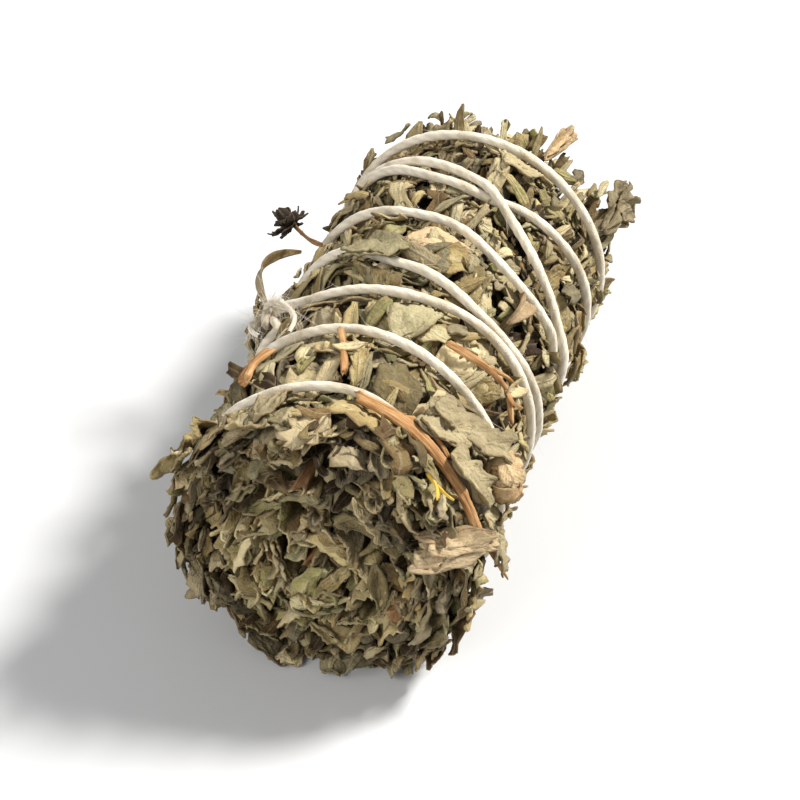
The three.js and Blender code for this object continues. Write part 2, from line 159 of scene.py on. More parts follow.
def catmull_rom(points, samples):
    """A smooth curve through points, sampled evenly between each two of them."""
    p = np.asarray(points, float)
    padded = np.vstack([p[:1], p, p[-1:]])
    t = np.linspace(0, 1, samples, endpoint=False)[:, None]
    out = []
    for a, b, c, d in zip(padded, padded[1:], padded[2:], padded[3:]):
        tangent, next_tangent = (c - a) / 2, (d - b) / 2
        out.append((2 * t**3 - 3 * t**2 + 1) * b + (t**3 - 2 * t**2 + t) * tangent
                   + (3 * t**2 - 2 * t**3) * c + (t**3 - t**2) * next_tangent)
    return np.vstack([*out, p[-1:]])


def evenly(points, spacing):
    """The same polyline with its points a given distance apart."""
    steps = np.linalg.norm(np.diff(points, axis=0), axis=1)
    along = np.concatenate([[0], np.cumsum(steps)])
    at = np.linspace(0, along[-1], max(2, round(along[-1] / spacing) + 1))
    return np.stack([np.interp(at, along, points[:, k]) for k in range(points.shape[1])], -1)


def smooth_route(places, spacing):
    """A smooth path through given places on the bundle."""
    return evenly(catmull_rom([on_bundle(*place) for place in places], PLACE_SAMPLES), spacing)


def unrolled_route():
    """The winding unrolled: angle, counted on from turn to turn, and place along the bundle."""
    route = [(KNOT_ANGLE, KNOT_Y)]
    for turn, places in enumerate(PASSES):
        for angle, y in zip(PASS_ANGLES, places):
            if turn > 0 or angle > PASS_ANGLES[0]:
                route.append((angle + FULL_TURN * turn, y))
    end = FULL_TURN * len(PASSES)
    route += [(LAST_ANGLE + end, LAST_Y), (KNOT_ANGLE + end, KNOT_Y)]
    stretched = np.array(route) * (1, UNROLLED_STRETCH)
    return evenly(catmull_rom(stretched, PASS_SAMPLES), ROUTE_STEP) / (1, UNROLLED_STRETCH)


def crossings(route):
    """Where the unrolled winding crosses itself, as pairs of an older and a newer place along it."""
    found = []
    for turns in range(1, len(PASSES) + 1):
        older_y = np.interp(route[:, 0] - turns * FULL_TURN, route[:, 0], route[:, 1], left=np.nan)
        apart = route[:, 1] - older_y
        for newer in np.nonzero(apart[:-1] * apart[1:] < 0)[0]:
            older = np.searchsorted(route[:, 0], route[newer, 0] - turns * FULL_TURN)
            found.append((older, newer))
    return found


def winding_path():
    """The centre line of the winding. Where it crosses itself the older turn is pressed into the leaves."""
    route = unrolled_route()
    angle, y = route.T
    step = math.radians(angle[1] - angle[0]) * TWINE_SEAT
    index = np.arange(len(route))
    shift = np.zeros(len(route))
    for older, newer in crossings(route):
        underneath = math.cos(math.radians(angle[newer])) < UNDERNEATH
        share = 1.0 if underneath else PRESSED_SHARE
        shift -= STRAND_SPACING * share * hump((index - older) * step / CROSSING_REACH)
        shift += STRAND_SPACING * (1 - share) * hump((index - newer) * step / CROSSING_REACH)
    to_knot = np.minimum(index, index[::-1]) * step
    radius = (TWINE_SEAT + np.clip(shift, -DEEPEST_SHIFT, STRAND_SPACING)
              + (KNOT_RADIUS - TWINE_SEAT) * hump(to_knot / CROSSING_REACH))
    down = -np.cos(np.radians(angle))
    highest = (AXIS_HEIGHT - TWINE_LOWEST) / np.maximum(down, 1e-6)
    radius = np.where(down > 0, np.minimum(radius, highest), radius)
    return evenly(on_bundle(angle, y, radius), TWINE_SPACING)


WINDING = winding_path()

# ---------- How the twine presses the leaves ----------

PRESS_CELL_DEGREES = 1.5
PRESS_CELL_MM = 0.4
PRESS_MARGIN = 12                # that the grid reaches past the two ends
PRESS_REACH = 5.0                # the leaves have sprung back this far from the twine
PRESS_CORE = 0.8                 # the leaves lie fully pressed this near to the twine's centre line
PRESS_GAP = 0.1                  # between the twine and the leaves under it
PRESS_SLOPE = 1.6                # how steeply the leaves may rise beside the twine
LOOSE_RADIUS = 23.2              # of the outermost leaves, before the twine presses them
NO_TWINE = 99.0                  # distance where no twine is near


def press_map():
    """On a grid of angles and places along the bundle: how far the nearest twine is, and its radius."""
    angle, y, radius = off_bundle(WINDING[::2])
    angles = np.arange(-180, 180 + PRESS_CELL_DEGREES, PRESS_CELL_DEGREES)
    places = np.arange(CUT_END - PRESS_MARGIN, TIP_END + PRESS_MARGIN, PRESS_CELL_MM)
    far = np.full((len(angles), len(places)), NO_TWINE)
    near_radius = np.full_like(far, TWINE_SEAT)
    for i, a in enumerate(angles):
        around = np.radians((angle - a + 180) % 360 - 180) * TWINE_SEAT
        close = np.abs(around) < 2 * PRESS_REACH
        d = np.hypot(around[close][:, None], y[close][:, None] - places[None, :])
        nearest = np.argmin(d, axis=0)
        far[i] = d[nearest, np.arange(len(places))]
        near_radius[i] = radius[close][nearest]
    return angles, places, far, near_radius


PRESS_ANGLES, PRESS_PLACES, TWINE_FAR, TWINE_NEAR_RADIUS = press_map()


def nearest_twine(angle, y):
    """How far the nearest twine is from these places on the surface, and its distance from the axis."""
    i = np.round((angle + 180) % FULL_TURN / PRESS_CELL_DEGREES).astype(int)
    i = np.clip(i, 0, len(PRESS_ANGLES) - 1)
    place = np.clip((y - PRESS_PLACES[0]) / PRESS_CELL_MM, 0, len(PRESS_PLACES) - 1.001)
    j = place.astype(int)
    t = place - j
    return TWINE_FAR[i, j] * (1 - t) + TWINE_FAR[i, j + 1] * t, TWINE_NEAR_RADIUS[i, j]


def pressed(points):
    """The leaves' points with those near the twine pressed under it, and none below the floor."""
    angle, y, radius = off_bundle(points)
    distance, twine_radius = nearest_twine(angle, y)
    seat = twine_radius - TWINE_RADIUS - PRESS_GAP
    spring = smooth_step((distance - PRESS_CORE) / (PRESS_REACH - PRESS_CORE))
    ceiling = seat + (LOOSE_RADIUS - seat) * spring
    squeeze = (ceiling - HEART_RADIUS) / (LOOSE_RADIUS - HEART_RADIUS)
    squeezed = np.where(radius > HEART_RADIUS, HEART_RADIUS + (radius - HEART_RADIUS) * squeeze, radius)
    hard = seat + PRESS_SLOPE * np.maximum(distance - TWINE_RADIUS, 0)
    return rested(on_bundle(angle, y, np.minimum(squeezed, hard)))


FLOOR_SOFTNESS = 1.2             # height under which points are drawn together
FLOOR_GAP = 0.05


def rested(points):
    """Points that would be below the floor are flattened onto it, keeping their order in height."""
    z = points[..., 2]
    low = FLOOR_SOFTNESS * np.exp(np.minimum(z / FLOOR_SOFTNESS - 1, 0))
    points[..., 2] = np.where(z < FLOOR_SOFTNESS, low, z) + FLOOR_GAP
    return points


# ---------- Leaves ----------

class Ripples:
    """Smooth random waves over a plane, a different set for each leaf of a batch."""

    def __init__(self, rng, count, wavelengths, waves=5):
        low, high = wavelengths
        shape = (waves, count, 1, 1)
        length = np.exp(rng.uniform(math.log(low), math.log(high), shape))
        heading = rng.uniform(0, 2 * np.pi, shape)
        self.kx = 2 * np.pi / length * np.cos(heading)
        self.ky = 2 * np.pi / length * np.sin(heading)
        self.phase = rng.uniform(0, 2 * np.pi, shape)
        self.share = rng.uniform(0.4, 1.0, shape) / waves**0.5

    def smooth(self, x, y):
        return (self.share * np.sin(self.kx * x + self.ky * y + self.phase)).sum(0)

    def creased(self, x, y):
        """The same waves folded sharply along their crests."""
        return (self.share * (1 - 2 * np.abs(np.sin(self.kx * x + self.ky * y + self.phase)))).sum(0)


def running_sum(values, axis):
    """Sums along an axis, starting from 0 and taking each step's mean."""
    values = np.moveaxis(values, axis, -1)
    steps = (values[..., 1:] + values[..., :-1]) / 2
    total = np.concatenate([np.zeros_like(values[..., :1]), np.cumsum(steps, -1)], -1)
    return np.moveaxis(total, -1, axis)


class LeafKind:
    """The ranges that a batch of leaves is drawn from. Lengths are in millimetres, curls in 1/mm."""

    def __init__(self, length, width, lobes=(1.6, 3.4), lobe_depth=(0.15, 0.6), blunt=0.3,
                 curl=(-0.12, 0.3), bend=(-0.05, 0.08), fold=(-0.2, 0.4), crumple=0.35, twist=0.6,
                 cut=(0.6, 0.9)):
        self.length, self.width = length, width
        self.lobes, self.lobe_depth, self.blunt = lobes, lobe_depth, blunt
        self.curl, self.bend, self.fold = curl, bend, fold
        self.crumple, self.twist = crumple, twist
        self.cut = cut           # where a blunt leaf's outline is broken off, as a share of its length


def leaf_sheets(rng, count, rows, cols, kind):
    """Crumpled leaves in their own frames: along, across and up, each (count, rows + 1, cols + 1)."""
    def draw(low_high):
        return rng.uniform(*low_high, (count, 1, 1))

    s = np.linspace(0, 1, rows + 1)[None, :, None]
    t = np.linspace(-1, 1, cols + 1)[None, None, :]
    length, half = draw(kind.length), draw(kind.width) / 2

    # Outline: a pointed leaf or a blunt broken piece, with lobes that differ from side to side.
    blunt = rng.uniform(0, 1, (count, 1, 1)) < kind.blunt
    start = np.where(blunt, draw((0.1, 0.35)), 0.03)
    end = np.where(blunt, draw(kind.cut), 0.97)
    outline = np.sin(np.pi * (start + (end - start) * s) ** draw((0.75, 1.2))) ** draw((0.45, 0.85))
    depth = draw(kind.lobe_depth)
    number = draw(kind.lobes)
    for side in (-1, 1):
        wave = 0.5 - 0.5 * np.cos(2 * np.pi * (number * s + draw((0, 1))))
        lobed = 1 - depth * wave ** draw((0.8, 2.0))
        outline = outline * np.where(t * side > 0, lobed, 1)
    half_width = half * np.maximum(outline, 0.1)
    across = t * half_width
    ragged = Ripples(rng, count, (0.8, 2.5)).smooth(across, 0) * np.where(blunt, 0.5, 0.12) * (s > 0.9)
    sweep = draw((0.1, 0.7)) * np.abs(across)

    # Cross-section: an arc whose curl changes along the leaf and from side to side.
    sway = Ripples(rng, count, (0.5, 1.6), waves=3)
    curl = (draw(kind.curl) + draw((-0.18, 0.18)) * sway.smooth(s + 0 * t, 0)
            + draw((-0.12, 0.12)) * t + draw((0, 0.25)) * np.abs(t) ** 3)
    turn = running_sum(curl * half_width, 2) * (2 / cols)
    turn = turn - turn[:, :, cols // 2][:, :, None] + draw(kind.fold) * np.sign(t) * (np.abs(t) > 0.01)
    side = running_sum(np.cos(turn) * half_width, 2) * (2 / cols)
    lift = running_sum(np.sin(turn) * half_width, 2) * (2 / cols)
    side = side - side[:, :, cols // 2][:, :, None]
    lift = lift - lift[:, :, cols // 2][:, :, None]

    # Crumpling of the whole sheet.
    flat_x = length * s + 0 * t
    lift = lift + kind.crumple * (0.7 * Ripples(rng, count, (2.5, 7)).smooth(flat_x, across)
                                  + 0.55 * Ripples(rng, count, (1.6, 3.4)).creased(flat_x, across))
    side = side + 0.25 * kind.crumple * Ripples(rng, count, (2, 5)).smooth(flat_x, across)

    # Centre line: bends up and down, and the section rolls about it.
    bend = draw(kind.bend) + 0.09 * Ripples(rng, count, (0.6, 1.8), waves=3).smooth(s, 0)
    heading = running_sum(bend * length, 1) / rows
    heading = heading - heading[:, rows // 2][:, None]
    centre_x = running_sum(np.cos(heading) * length, 1) / rows
    centre_z = running_sum(np.sin(heading) * length, 1) / rows
    roll = draw((-kind.twist, kind.twist)) * (s - 0.5)
    side, lift = side * np.cos(roll) - lift * np.sin(roll), side * np.sin(roll) + lift * np.cos(roll)
    ahead = sweep + ragged
    x = centre_x - centre_x[:, rows // 2][:, None] + ahead * np.cos(heading) - lift * np.sin(heading)
    z = centre_z - centre_z[:, rows // 2][:, None] + ahead * np.sin(heading) + lift * np.cos(heading)
    return x, side, z


class LeafHeap:
    """Leaves gathered into one mesh. Every leaf is a closed thin sheet with its own cell of the bake map."""

    def __init__(self):
        self.batches = []

    def add(self, sheets, thickness, tint):
        """Adds mid surfaces, an array (count, rows + 1, cols + 1, 3), with a tint (count, 3)."""
        self.batches.append((sheets, thickness, tint))

    def mesh(self, name):
        cells = math.ceil(math.sqrt(sum(len(sheets) for sheets, _, _ in self.batches)))
        points, faces, maps, places, tints = [], [], [], [], []
        base = cell = 0
        for sheets, thickness, tint in self.batches:
            count, m, n, _ = sheets.shape
            normal = sheet_normals(sheets) * thickness / 2
            both = np.concatenate([(sheets + normal).reshape(count, -1, 3),
                                   (sheets - normal).reshape(count, -1, 3)], 1)
            quads, corners, place = leaf_template(m - 1, n - 1)
            points.append(both.reshape(-1, 3))
            per_leaf = both.shape[1]
            offsets = base + per_leaf * np.arange(count)[:, None, None]
            faces.append((quads[None] + offsets).reshape(-1, 4))
            index = cell + np.arange(count)
            corner = np.stack([index % cells, index // cells], -1) / cells
            maps.append((corner[:, None, :] + corners[None] / cells).reshape(-1, 2))
            places.append(np.tile(place, (count, 1)))
            tints.append(np.repeat(tint, per_leaf, 0))
            base += count * per_leaf
            cell += count
        return make_mesh(name, np.vstack(points), np.vstack(faces), np.vstack(maps),
                         {"leaf_place": np.vstack(places), "leaf_tint": np.vstack(tints)})


def sheet_normals(sheets):
    """Unit normals of mid surfaces."""
    along = np.gradient(sheets, axis=1)
    across = np.gradient(sheets, axis=2)
    normal = np.cross(along, across)
    return normal / np.maximum(np.linalg.norm(normal, axis=-1, keepdims=True), 1e-9)


# A leaf's cell of the bake map: the size of each side's patch, where the two lie, and the rim's band.
PATCH_SIZE = (0.45, 0.84)
TOP_PATCH, UNDER_PATCH = (0.025, 0.13), (0.525, 0.13)
RIM_ALONG, RIM_BAND = (0.025, 0.975), (0.02, 0.08)
_templates = {}


def leaf_template(rows, cols):
    """Faces, bake-map corners and leaf places of one closed leaf of rows by cols cells."""
    if (rows, cols) in _templates:
        return _templates[rows, cols]
    ids = np.arange((rows + 1) * (cols + 1)).reshape(rows + 1, cols + 1)
    under = ids + ids.size
    u, v = np.meshgrid(np.linspace(0, 1, rows + 1), np.linspace(0, 1, cols + 1), indexing="ij")

    def face_corners(grid):
        return np.stack([grid[:-1, :-1], grid[1:, :-1], grid[1:, 1:], grid[:-1, 1:]], -1).reshape(-1, 4)

    top = face_corners(ids)
    bottom = face_corners(under)[:, ::-1]
    flat = np.stack([u, v], -1).reshape(-1, 2)
    top_map = flat[top] * PATCH_SIZE + TOP_PATCH
    bottom_map = flat[bottom - ids.size] * PATCH_SIZE + UNDER_PATCH
    edge = np.concatenate([ids[0, :-1], ids[:-1, -1], ids[-1, :0:-1], ids[:0:-1, 0]])
    after = np.roll(edge, -1)
    rim = np.stack([edge, after, after + ids.size, edge + ids.size], -1)
    step = np.linspace(*RIM_ALONG, len(edge) + 1)
    low, high = (np.full(len(edge), level) for level in RIM_BAND)
    rim_map = np.stack([np.stack([step[:-1], high], -1), np.stack([step[1:], high], -1),
                        np.stack([step[1:], low], -1), np.stack([step[:-1], low], -1)], 1)
    place_top = np.stack([u, v * 2 - 1, np.ones_like(u)], -1).reshape(-1, 3)
    place_under = place_top * (1, 1, 0)
    _templates[rows, cols] = (
        np.vstack([top, bottom, rim]),
        np.vstack([top_map.reshape(-1, 2), bottom_map.reshape(-1, 2), rim_map.reshape(-1, 2)]),
        np.vstack([place_top, place_under]),
    )
    return _templates[rows, cols]


def make_mesh(name, points, faces, corners=None, attributes=None):
    """A mesh object from points in millimetres, with its bake map and point attributes."""
    mesh = bpy.data.meshes.new(name)
    mesh.vertices.add(len(points))
    mesh.vertices.foreach_set("co", (np.asarray(points) * MM).ravel())
    sizes = faces.shape[1]
    mesh.loops.add(faces.size)
    mesh.loops.foreach_set("vertex_index", faces.ravel())
    mesh.polygons.add(len(faces))
    mesh.polygons.foreach_set("loop_start", np.arange(len(faces)) * sizes)
    mesh.polygons.foreach_set("loop_total", np.full(len(faces), sizes))
    mesh.polygons.foreach_set("use_smooth", np.ones(len(faces), bool))
    if corners is not None:
        layer = mesh.uv_layers.new(name="OFBake")
        layer.data.foreach_set("uv", corners.ravel())
    for key, values in (attributes or {}).items():
        kind = "FLOAT_VECTOR" if values.ndim == 2 else "FLOAT"
        layer = mesh.attributes.new(key, kind, "POINT")
        layer.data.foreach_set("vector" if values.ndim == 2 else "value", values.ravel())
    mesh.update()
    mesh.validate()
    piece = bpy.data.objects.new(name, mesh)
    bpy.context.collection.objects.link(piece)
    return piece


TINT_MIDDLE, TINT_SPREAD = 0.5, 0.24


def tints(rng, tone, bright):
    """For each leaf: its place between brown and grey-green, its brightness, and a free number."""
    return np.stack([tone, bright, rng.uniform(0, 1, len(tone))], -1)


def draw_tints(rng, count, tone, bright, spread=TINT_SPREAD):
    """Tints spread about a tone and a brightness."""
    return tints(rng, *(np.clip(rng.normal(middle, spread, count), 0, 1) for middle in (tone, bright)))


def bundle_tints(rng, count, painted_shade):
    """Tints of the bundle's small leaves, with painted shade: browner and darker where they lie deep."""
    return draw_tints(rng, count, TINT_MIDDLE - painted_shade, TINT_MIDDLE - painted_shade)


def lay_on_bundle(sheets, angle, y, radius, heading, flip):
    """Wraps flat leaf sheets round the bundle at their places."""
    x, side, up = sheets
    cos, sin = each(np.cos(heading)), each(np.sin(heading))
    along = x * cos - side * sin
    around = (x * sin + side * cos) * each(flip)
    return on_bundle(each(angle) + np.degrees(around / LEAF_RADIUS), each(y) + along, each(radius) + up)


def set_out(origin, sheets, axes):
    """Flat leaf sheets set out from an origin, with each of their three measures along its own axis."""
    points = origin
    for measure, axis in zip(sheets, axes):
        points = points + measure[..., None] * axis
    return points


# How far the surface flares out and is rounded off towards each end, and over what length.
NEAR_FLARE, NEAR_FLARE_REACH = 1.3, 16
FAR_FLARE, FAR_FLARE_REACH = 0.8, 8
NEAR_ROUNDING, NEAR_ROUNDING_REACH = 4.6, 6.5
FAR_ROUNDING, FAR_ROUNDING_REACH = 1.8, 4


def bundle_swell(angle, y):
    """How far the leafy surface stands out from a plain cylinder: lumps, flared and rounded ends."""
    a = np.radians(angle)
    lumps = (0.45 * np.sin(5 * a + 0.21 * y) + 0.4 * np.sin(3 * a - 0.33 * y + 1.3)
             + 0.35 * np.sin(9 * a + 0.12 * y + 2.1) * np.cos(0.4 * y))
    near, far = y - CUT_END, y - TIP_END
    flare = NEAR_FLARE * hump(near / NEAR_FLARE_REACH) + FAR_FLARE * hump(far / FAR_FLARE_REACH)
    rounding = (-NEAR_ROUNDING * hump(near / NEAR_ROUNDING_REACH)
                - FAR_ROUNDING * hump(far / FAR_ROUNDING_REACH))
    return lumps + flare + rounding


PIT_WIDTH = 11.0                 # between two pits in the leafy surface
PIT_DEPTH = (1.8, 3.2)           # in the middle of the bundle, and near its cut end


def pits(angle, y):
    """How far the leaves have sunk in at a place: mostly nothing, with a pit here and there."""
    k = 2 * math.pi / PIT_WIDTH
    a = np.radians(angle) * LEAF_RADIUS
    waves = (np.sin(k * a + 1.0) * np.sin(0.8 * k * y + 2.2) + 0.6 * np.sin(1.7 * k * (0.7 * a + 0.7 * y))
             + 0.5 * np.sin(2.3 * k * (0.9 * y - 0.4 * a) + 0.7))
    middle, near = PIT_DEPTH
    depth = middle + (near - middle) * hump((y - CUT_END) / 20)
    return depth * smooth_step(0.8 * (waves - 0.35))


class Layer:
    """Leaves of one kind spread over the surface: how far apart, how deep their middles lie, and how much
    painted shade darkens them.
    """

    def __init__(self, kind, grid, spacing, depth, thickness, painted_shade=0.0):
        self.kind, self.grid, self.spacing = kind, grid, spacing
        self.depth, self.thickness, self.painted_shade = depth, thickness, painted_shade


CRUMBS = LeafKind((4.5, 8.5), (2.2, 4.2), crumple=0.4)
SHARDS = LeafKind((3.2, 7.5), (2.6, 5.2), lobes=(0.4, 2.0), lobe_depth=(0.1, 0.55), blunt=0.8,
                  curl=(-0.35, 0.55), bend=(-0.12, 0.14), crumple=0.6, twist=0.9)
BLADES = LeafKind((7, 13.5), (3.6, 7.2), lobe_depth=(0.2, 0.7), blunt=0.5, crumple=0.65,
                  curl=(-0.12, 0.3), twist=0.7)
LOBES = LeafKind((4.0, 9), (1.3, 2.7), lobes=(0.5, 1.4), lobe_depth=(0, 0.4), blunt=0.35,
                 curl=(-0.6, 1.2), bend=(-0.14, 0.2), crumple=0.35, twist=1.8)
FLAKES = LeafKind((1.8, 4.2), (1.2, 2.8), lobes=(0.3, 1.2), lobe_depth=(0, 0.5), blunt=0.8,
                  curl=(-0.7, 1.0), bend=(-0.25, 0.3), crumple=0.35, twist=1.8)
# The deeper layers get painted shade: their tints are made darker and browner.
LAYERS = (
    Layer(CRUMBS, (6, 4), 4.8, (3.2, 5.2), 0.35, painted_shade=0.42),
    Layer(SHARDS, (6, 6), 3.5, (0.9, 3.4), 0.3, painted_shade=0.17),
    Layer(BLADES, (10, 8), 6.2, (-0.3, 1.9), 0.26),
    Layer(LOBES, (7, 4), 4.0, (-0.8, 1.6), 0.28),
    Layer(FLAKES, (5, 3), 3.6, (-0.5, 1.6), 0.24),
)


RIM_PAINTED_SHADE, RIM_REACH = 0.16, 11.0  # painted shade: the leaves are darker towards the cut end
SUNK_PAINTED_SHADE = 0.12                  # and painted shade in pits, for each millimetre that they have sunk
END_MARGIN = 1.5                 # the leaves' middles stay this far inside the bundle's ends
HEADING_SPREAD = 0.85            # radians that leaves turn away from the bundle's length


def sector_leaves(heap, rng, index):
    """The leaves of one outer sprig that lie along the bundle's surface."""
    width = math.radians(SECTOR) * LEAF_RADIUS
    covered = LENGTH - 2 * END_MARGIN
    for layer in LAYERS:
        across, along = round(width / layer.spacing), round(covered / layer.spacing)
        i, j = np.meshgrid(np.arange(across), np.arange(along), indexing="ij")
        count = i.size
        jitter = rng.uniform(-0.6, 0.6, (2, count))
        angle = (index - 0.5 + (i.ravel() + 0.5 + jitter[0]) / across) * SECTOR
        y = CUT_END + END_MARGIN + (j.ravel() + 0.5 + jitter[1]) / along * covered
        angle = angle + LAY_TWIST * y / LENGTH
        sunk = pits(angle, y) + rim_cavities(angle, y)
        radius = LEAF_RADIUS + bundle_swell(angle, y) - sunk - rng.uniform(*layer.depth, count)
        heading = rng.normal(0, HEADING_SPREAD, count) + np.where(rng.uniform(0, 1, count) < 0.5, np.pi, 0)
        flip = np.where(rng.uniform(0, 1, count) < 0.5, -1.0, 1.0)
        smaller = each(1.05 - 0.3 * smooth_step((y - 2) / 18))
        sheets = [part * smaller for part in leaf_sheets(rng, count, *layer.grid, layer.kind)]
        laid = lay_on_bundle(sheets, angle, y, radius, heading, flip)
        # Painted shade: the tints are darker and browner for deep layers, in pits and towards the cut end.
        painted_shade = layer.painted_shade + SUNK_PAINTED_SHADE * sunk + RIM_PAINTED_SHADE * hump((y - CUT_END) / RIM_REACH)
        heap.add(pressed(trimmed(laid)), layer.thickness, bundle_tints(rng, count, painted_shade))


END_SLACK = 1.3                  # the most that a leaf on the surface stands out past the end


def trimmed(points):
    """Leaves that would stand out past the two ends of the bundle are crumpled back to them."""
    y = points[..., 1]
    y = np.where(y < CUT_END, CUT_END - END_SLACK * np.tanh((CUT_END - y) / 3), y)
    points[..., 1] = np.where(y > TIP_END, TIP_END + END_SLACK * np.tanh((y - TIP_END) / 3), y)
    return points


RIBBONS = LeafKind((7, 12), (3.2, 8.0), lobes=(0.6, 2.2), lobe_depth=(0.05, 0.35), blunt=0.85,
                   curl=(-0.6, 0.85), bend=(-0.07, 0.07), fold=(-0.8, 0.8), crumple=0.5, twist=1.0,
                   cut=(0.5, 0.72))
RIBBON_GRID, SCRAP_GRID = (4, 12), (10, 8)    # cells along and across a leaf
RIBBON_THICKNESS, SCRAP_THICKNESS = 0.36, 0.32
CENTRE_EDGE = 8.0                # where the outer sprigs' leaves begin at the ends, from the axis
CENTRE_OVERLAP = 0.5             # that the middle sprig's leaves reach past that
HOLLOW_WIDTH = 10.0              # between two hollows in the ends of the bundle


class End:
    """One end of the bundle: the way it faces along Y, its place, and the depths of its shape.

    The dome is how far its rim lies back from its middle, and deepest is the depth of its hollows.
    """

    def __init__(self, way, limit, dome, deepest):
        self.way, self.limit, self.dome, self.deepest = way, limit, dome, deepest


NEAR, FAR = End(-1.0, CUT_END, 4.5, 8.5), End(1.0, TIP_END, 2.0, 5.0)


def hollows(x, z, way):
    """Where the leaves at an end lie deep: 0 at the bundle's end, 1 at the bottom of a hollow."""
    k = 2 * math.pi / HOLLOW_WIDTH
    waves = (np.sin(k * x + 0.6 * way) * np.sin(0.9 * k * z + 1.1)
             + 0.7 * np.sin(1.7 * k * (0.8 * x + 0.6 * z) + 2.0 * way)
             + 0.5 * np.sin(2.4 * k * (0.6 * x - 0.8 * z) + 0.5))
    return smooth_step(0.5 + 0.9 * (waves - 0.3))


# Cavities at the cut end: angle, distance from the axis, reach and depth.
CAVITIES = ((14, 19.5, 6.5, 6.0), (-3, 16.5, 4.5, 5.0), (-38, 15.0, 3.5, 4.0), (30, 11.0, 3.5, 4.0))
DEEPEST_CAVITY = 6.0
CAVITY_PAINTED_SHADE = 0.06                # painted shade, for each millimetre of a cavity's depth


def end_cavities(x, z):
    """How much deeper the leaves lie at places on the cut end, x and z being measured from the axis."""
    deeper = 0.0
    for angle, distance, reach, depth in CAVITIES:
        a = math.radians(angle)
        away = np.hypot(x - distance * math.sin(a), z - distance * math.cos(a))
        deeper = deeper + depth * hump(away / reach)
    return deeper


def rim_cavities(angle, y):
    """How much deeper the leaves along the bundle lie where a cavity reaches its rim."""
    deeper = 0.0
    for at, distance, reach, depth in CAVITIES:
        share = depth * hump((LEAF_RADIUS - distance) / reach)
        around = np.radians(angle - at) * LEAF_RADIUS
        deeper = deeper + share * hump(np.hypot(around, y - CUT_END - reach / 2) / reach)
    return deeper


def end_places(rng, end, angles, radii, spacing):
    """Random places spread over part of an end: angles in radians, and distances from the axis."""
    (low, high), (inner, outer) = angles, radii
    count = round(math.radians(high - low) * (outer**2 - inner**2) / 2 / spacing**2)
    angle = rng.uniform(low, high, count)
    radius = np.sqrt(rng.uniform(inner**2, outer**2, count))
    return count, np.radians(angle + LAY_TWIST * end.limit / LENGTH), radius


def end_depths(end, turned, radius):
    """How deep the leaves lie at places on an end: their share of a hollow, the dome and the cavities."""
    across, above = radius * np.sin(turned), radius * np.cos(turned)
    cavity = end_cavities(across, above) if end is NEAR else 0.0
    return hollows(across, above, end.way), end.dome * (radius / LEAF_RADIUS) ** 3, cavity


def end_leaves(heap, rng, end, angles, radii, spacing):
    """Leaves seen edge on at an end of the bundle: curled ribbons that run in along it."""
    count, turned, radius = end_places(rng, end, angles, radii, spacing)
    x, side, up = leaf_sheets(rng, count, *RIBBON_GRID, RIBBONS)
    deep, dome, cavity = end_depths(end, turned, radius)
    back = dome + end.deepest * deep + cavity + 2.2 * rng.uniform(0, 1, count) ** 1.5 - 0.8
    y = each(end.limit - end.way * back) - end.way * (each(x.max((1, 2))) - x)
    spin = np.where(rng.uniform(0, 1, count) < 0.7, rng.normal(0, 0.35, count), rng.uniform(-2, 2, count))
    spin, turned = each(spin), each(turned)
    tangential = side * np.cos(spin) - up * np.sin(spin)
    radial = side * np.sin(spin) + up * np.cos(spin)
    splay = each(rng.uniform(-0.1, 0.25, count)) * (y - end.limit) * end.way
    r = each(radius) + radial + splay
    px = r * np.sin(turned) + tangential * np.cos(turned)
    pz = AXIS_HEIGHT + r * np.cos(turned) - tangential * np.sin(turned)
    points = np.stack([px, y, pz], -1)
    if end is NEAR:
        points = points[:, :, ::-1]
    # Painted shade: the leaves are darker and browner in the hollows and cavities.
    tint = bundle_tints(rng, count, 0.35 * deep + CAVITY_PAINTED_SHADE * cavity)
    heap.add(pressed(within_bundle(points)), RIBBON_THICKNESS, tint)


SCRAPS = LeafKind((4.5, 10), (1.9, 4.6), lobes=(0.6, 2.2), lobe_depth=(0.1, 0.5), blunt=0.6,
                  curl=(-0.6, 1.1), bend=(0.0, 0.2), fold=(-0.6, 0.9), crumple=0.65, twist=1.8)
STILL, TILTED = 0.45, 0.95       # radians that a scrap turns off its way round, and tilts off the end
MEAN_TILT = 0.4
SCRAP_HOLLOW = 5.5               # how deep scraps lie in the hollows of the end
OPEN_FROM = 0.75                 # share of a hollow's depth from which it has no scraps


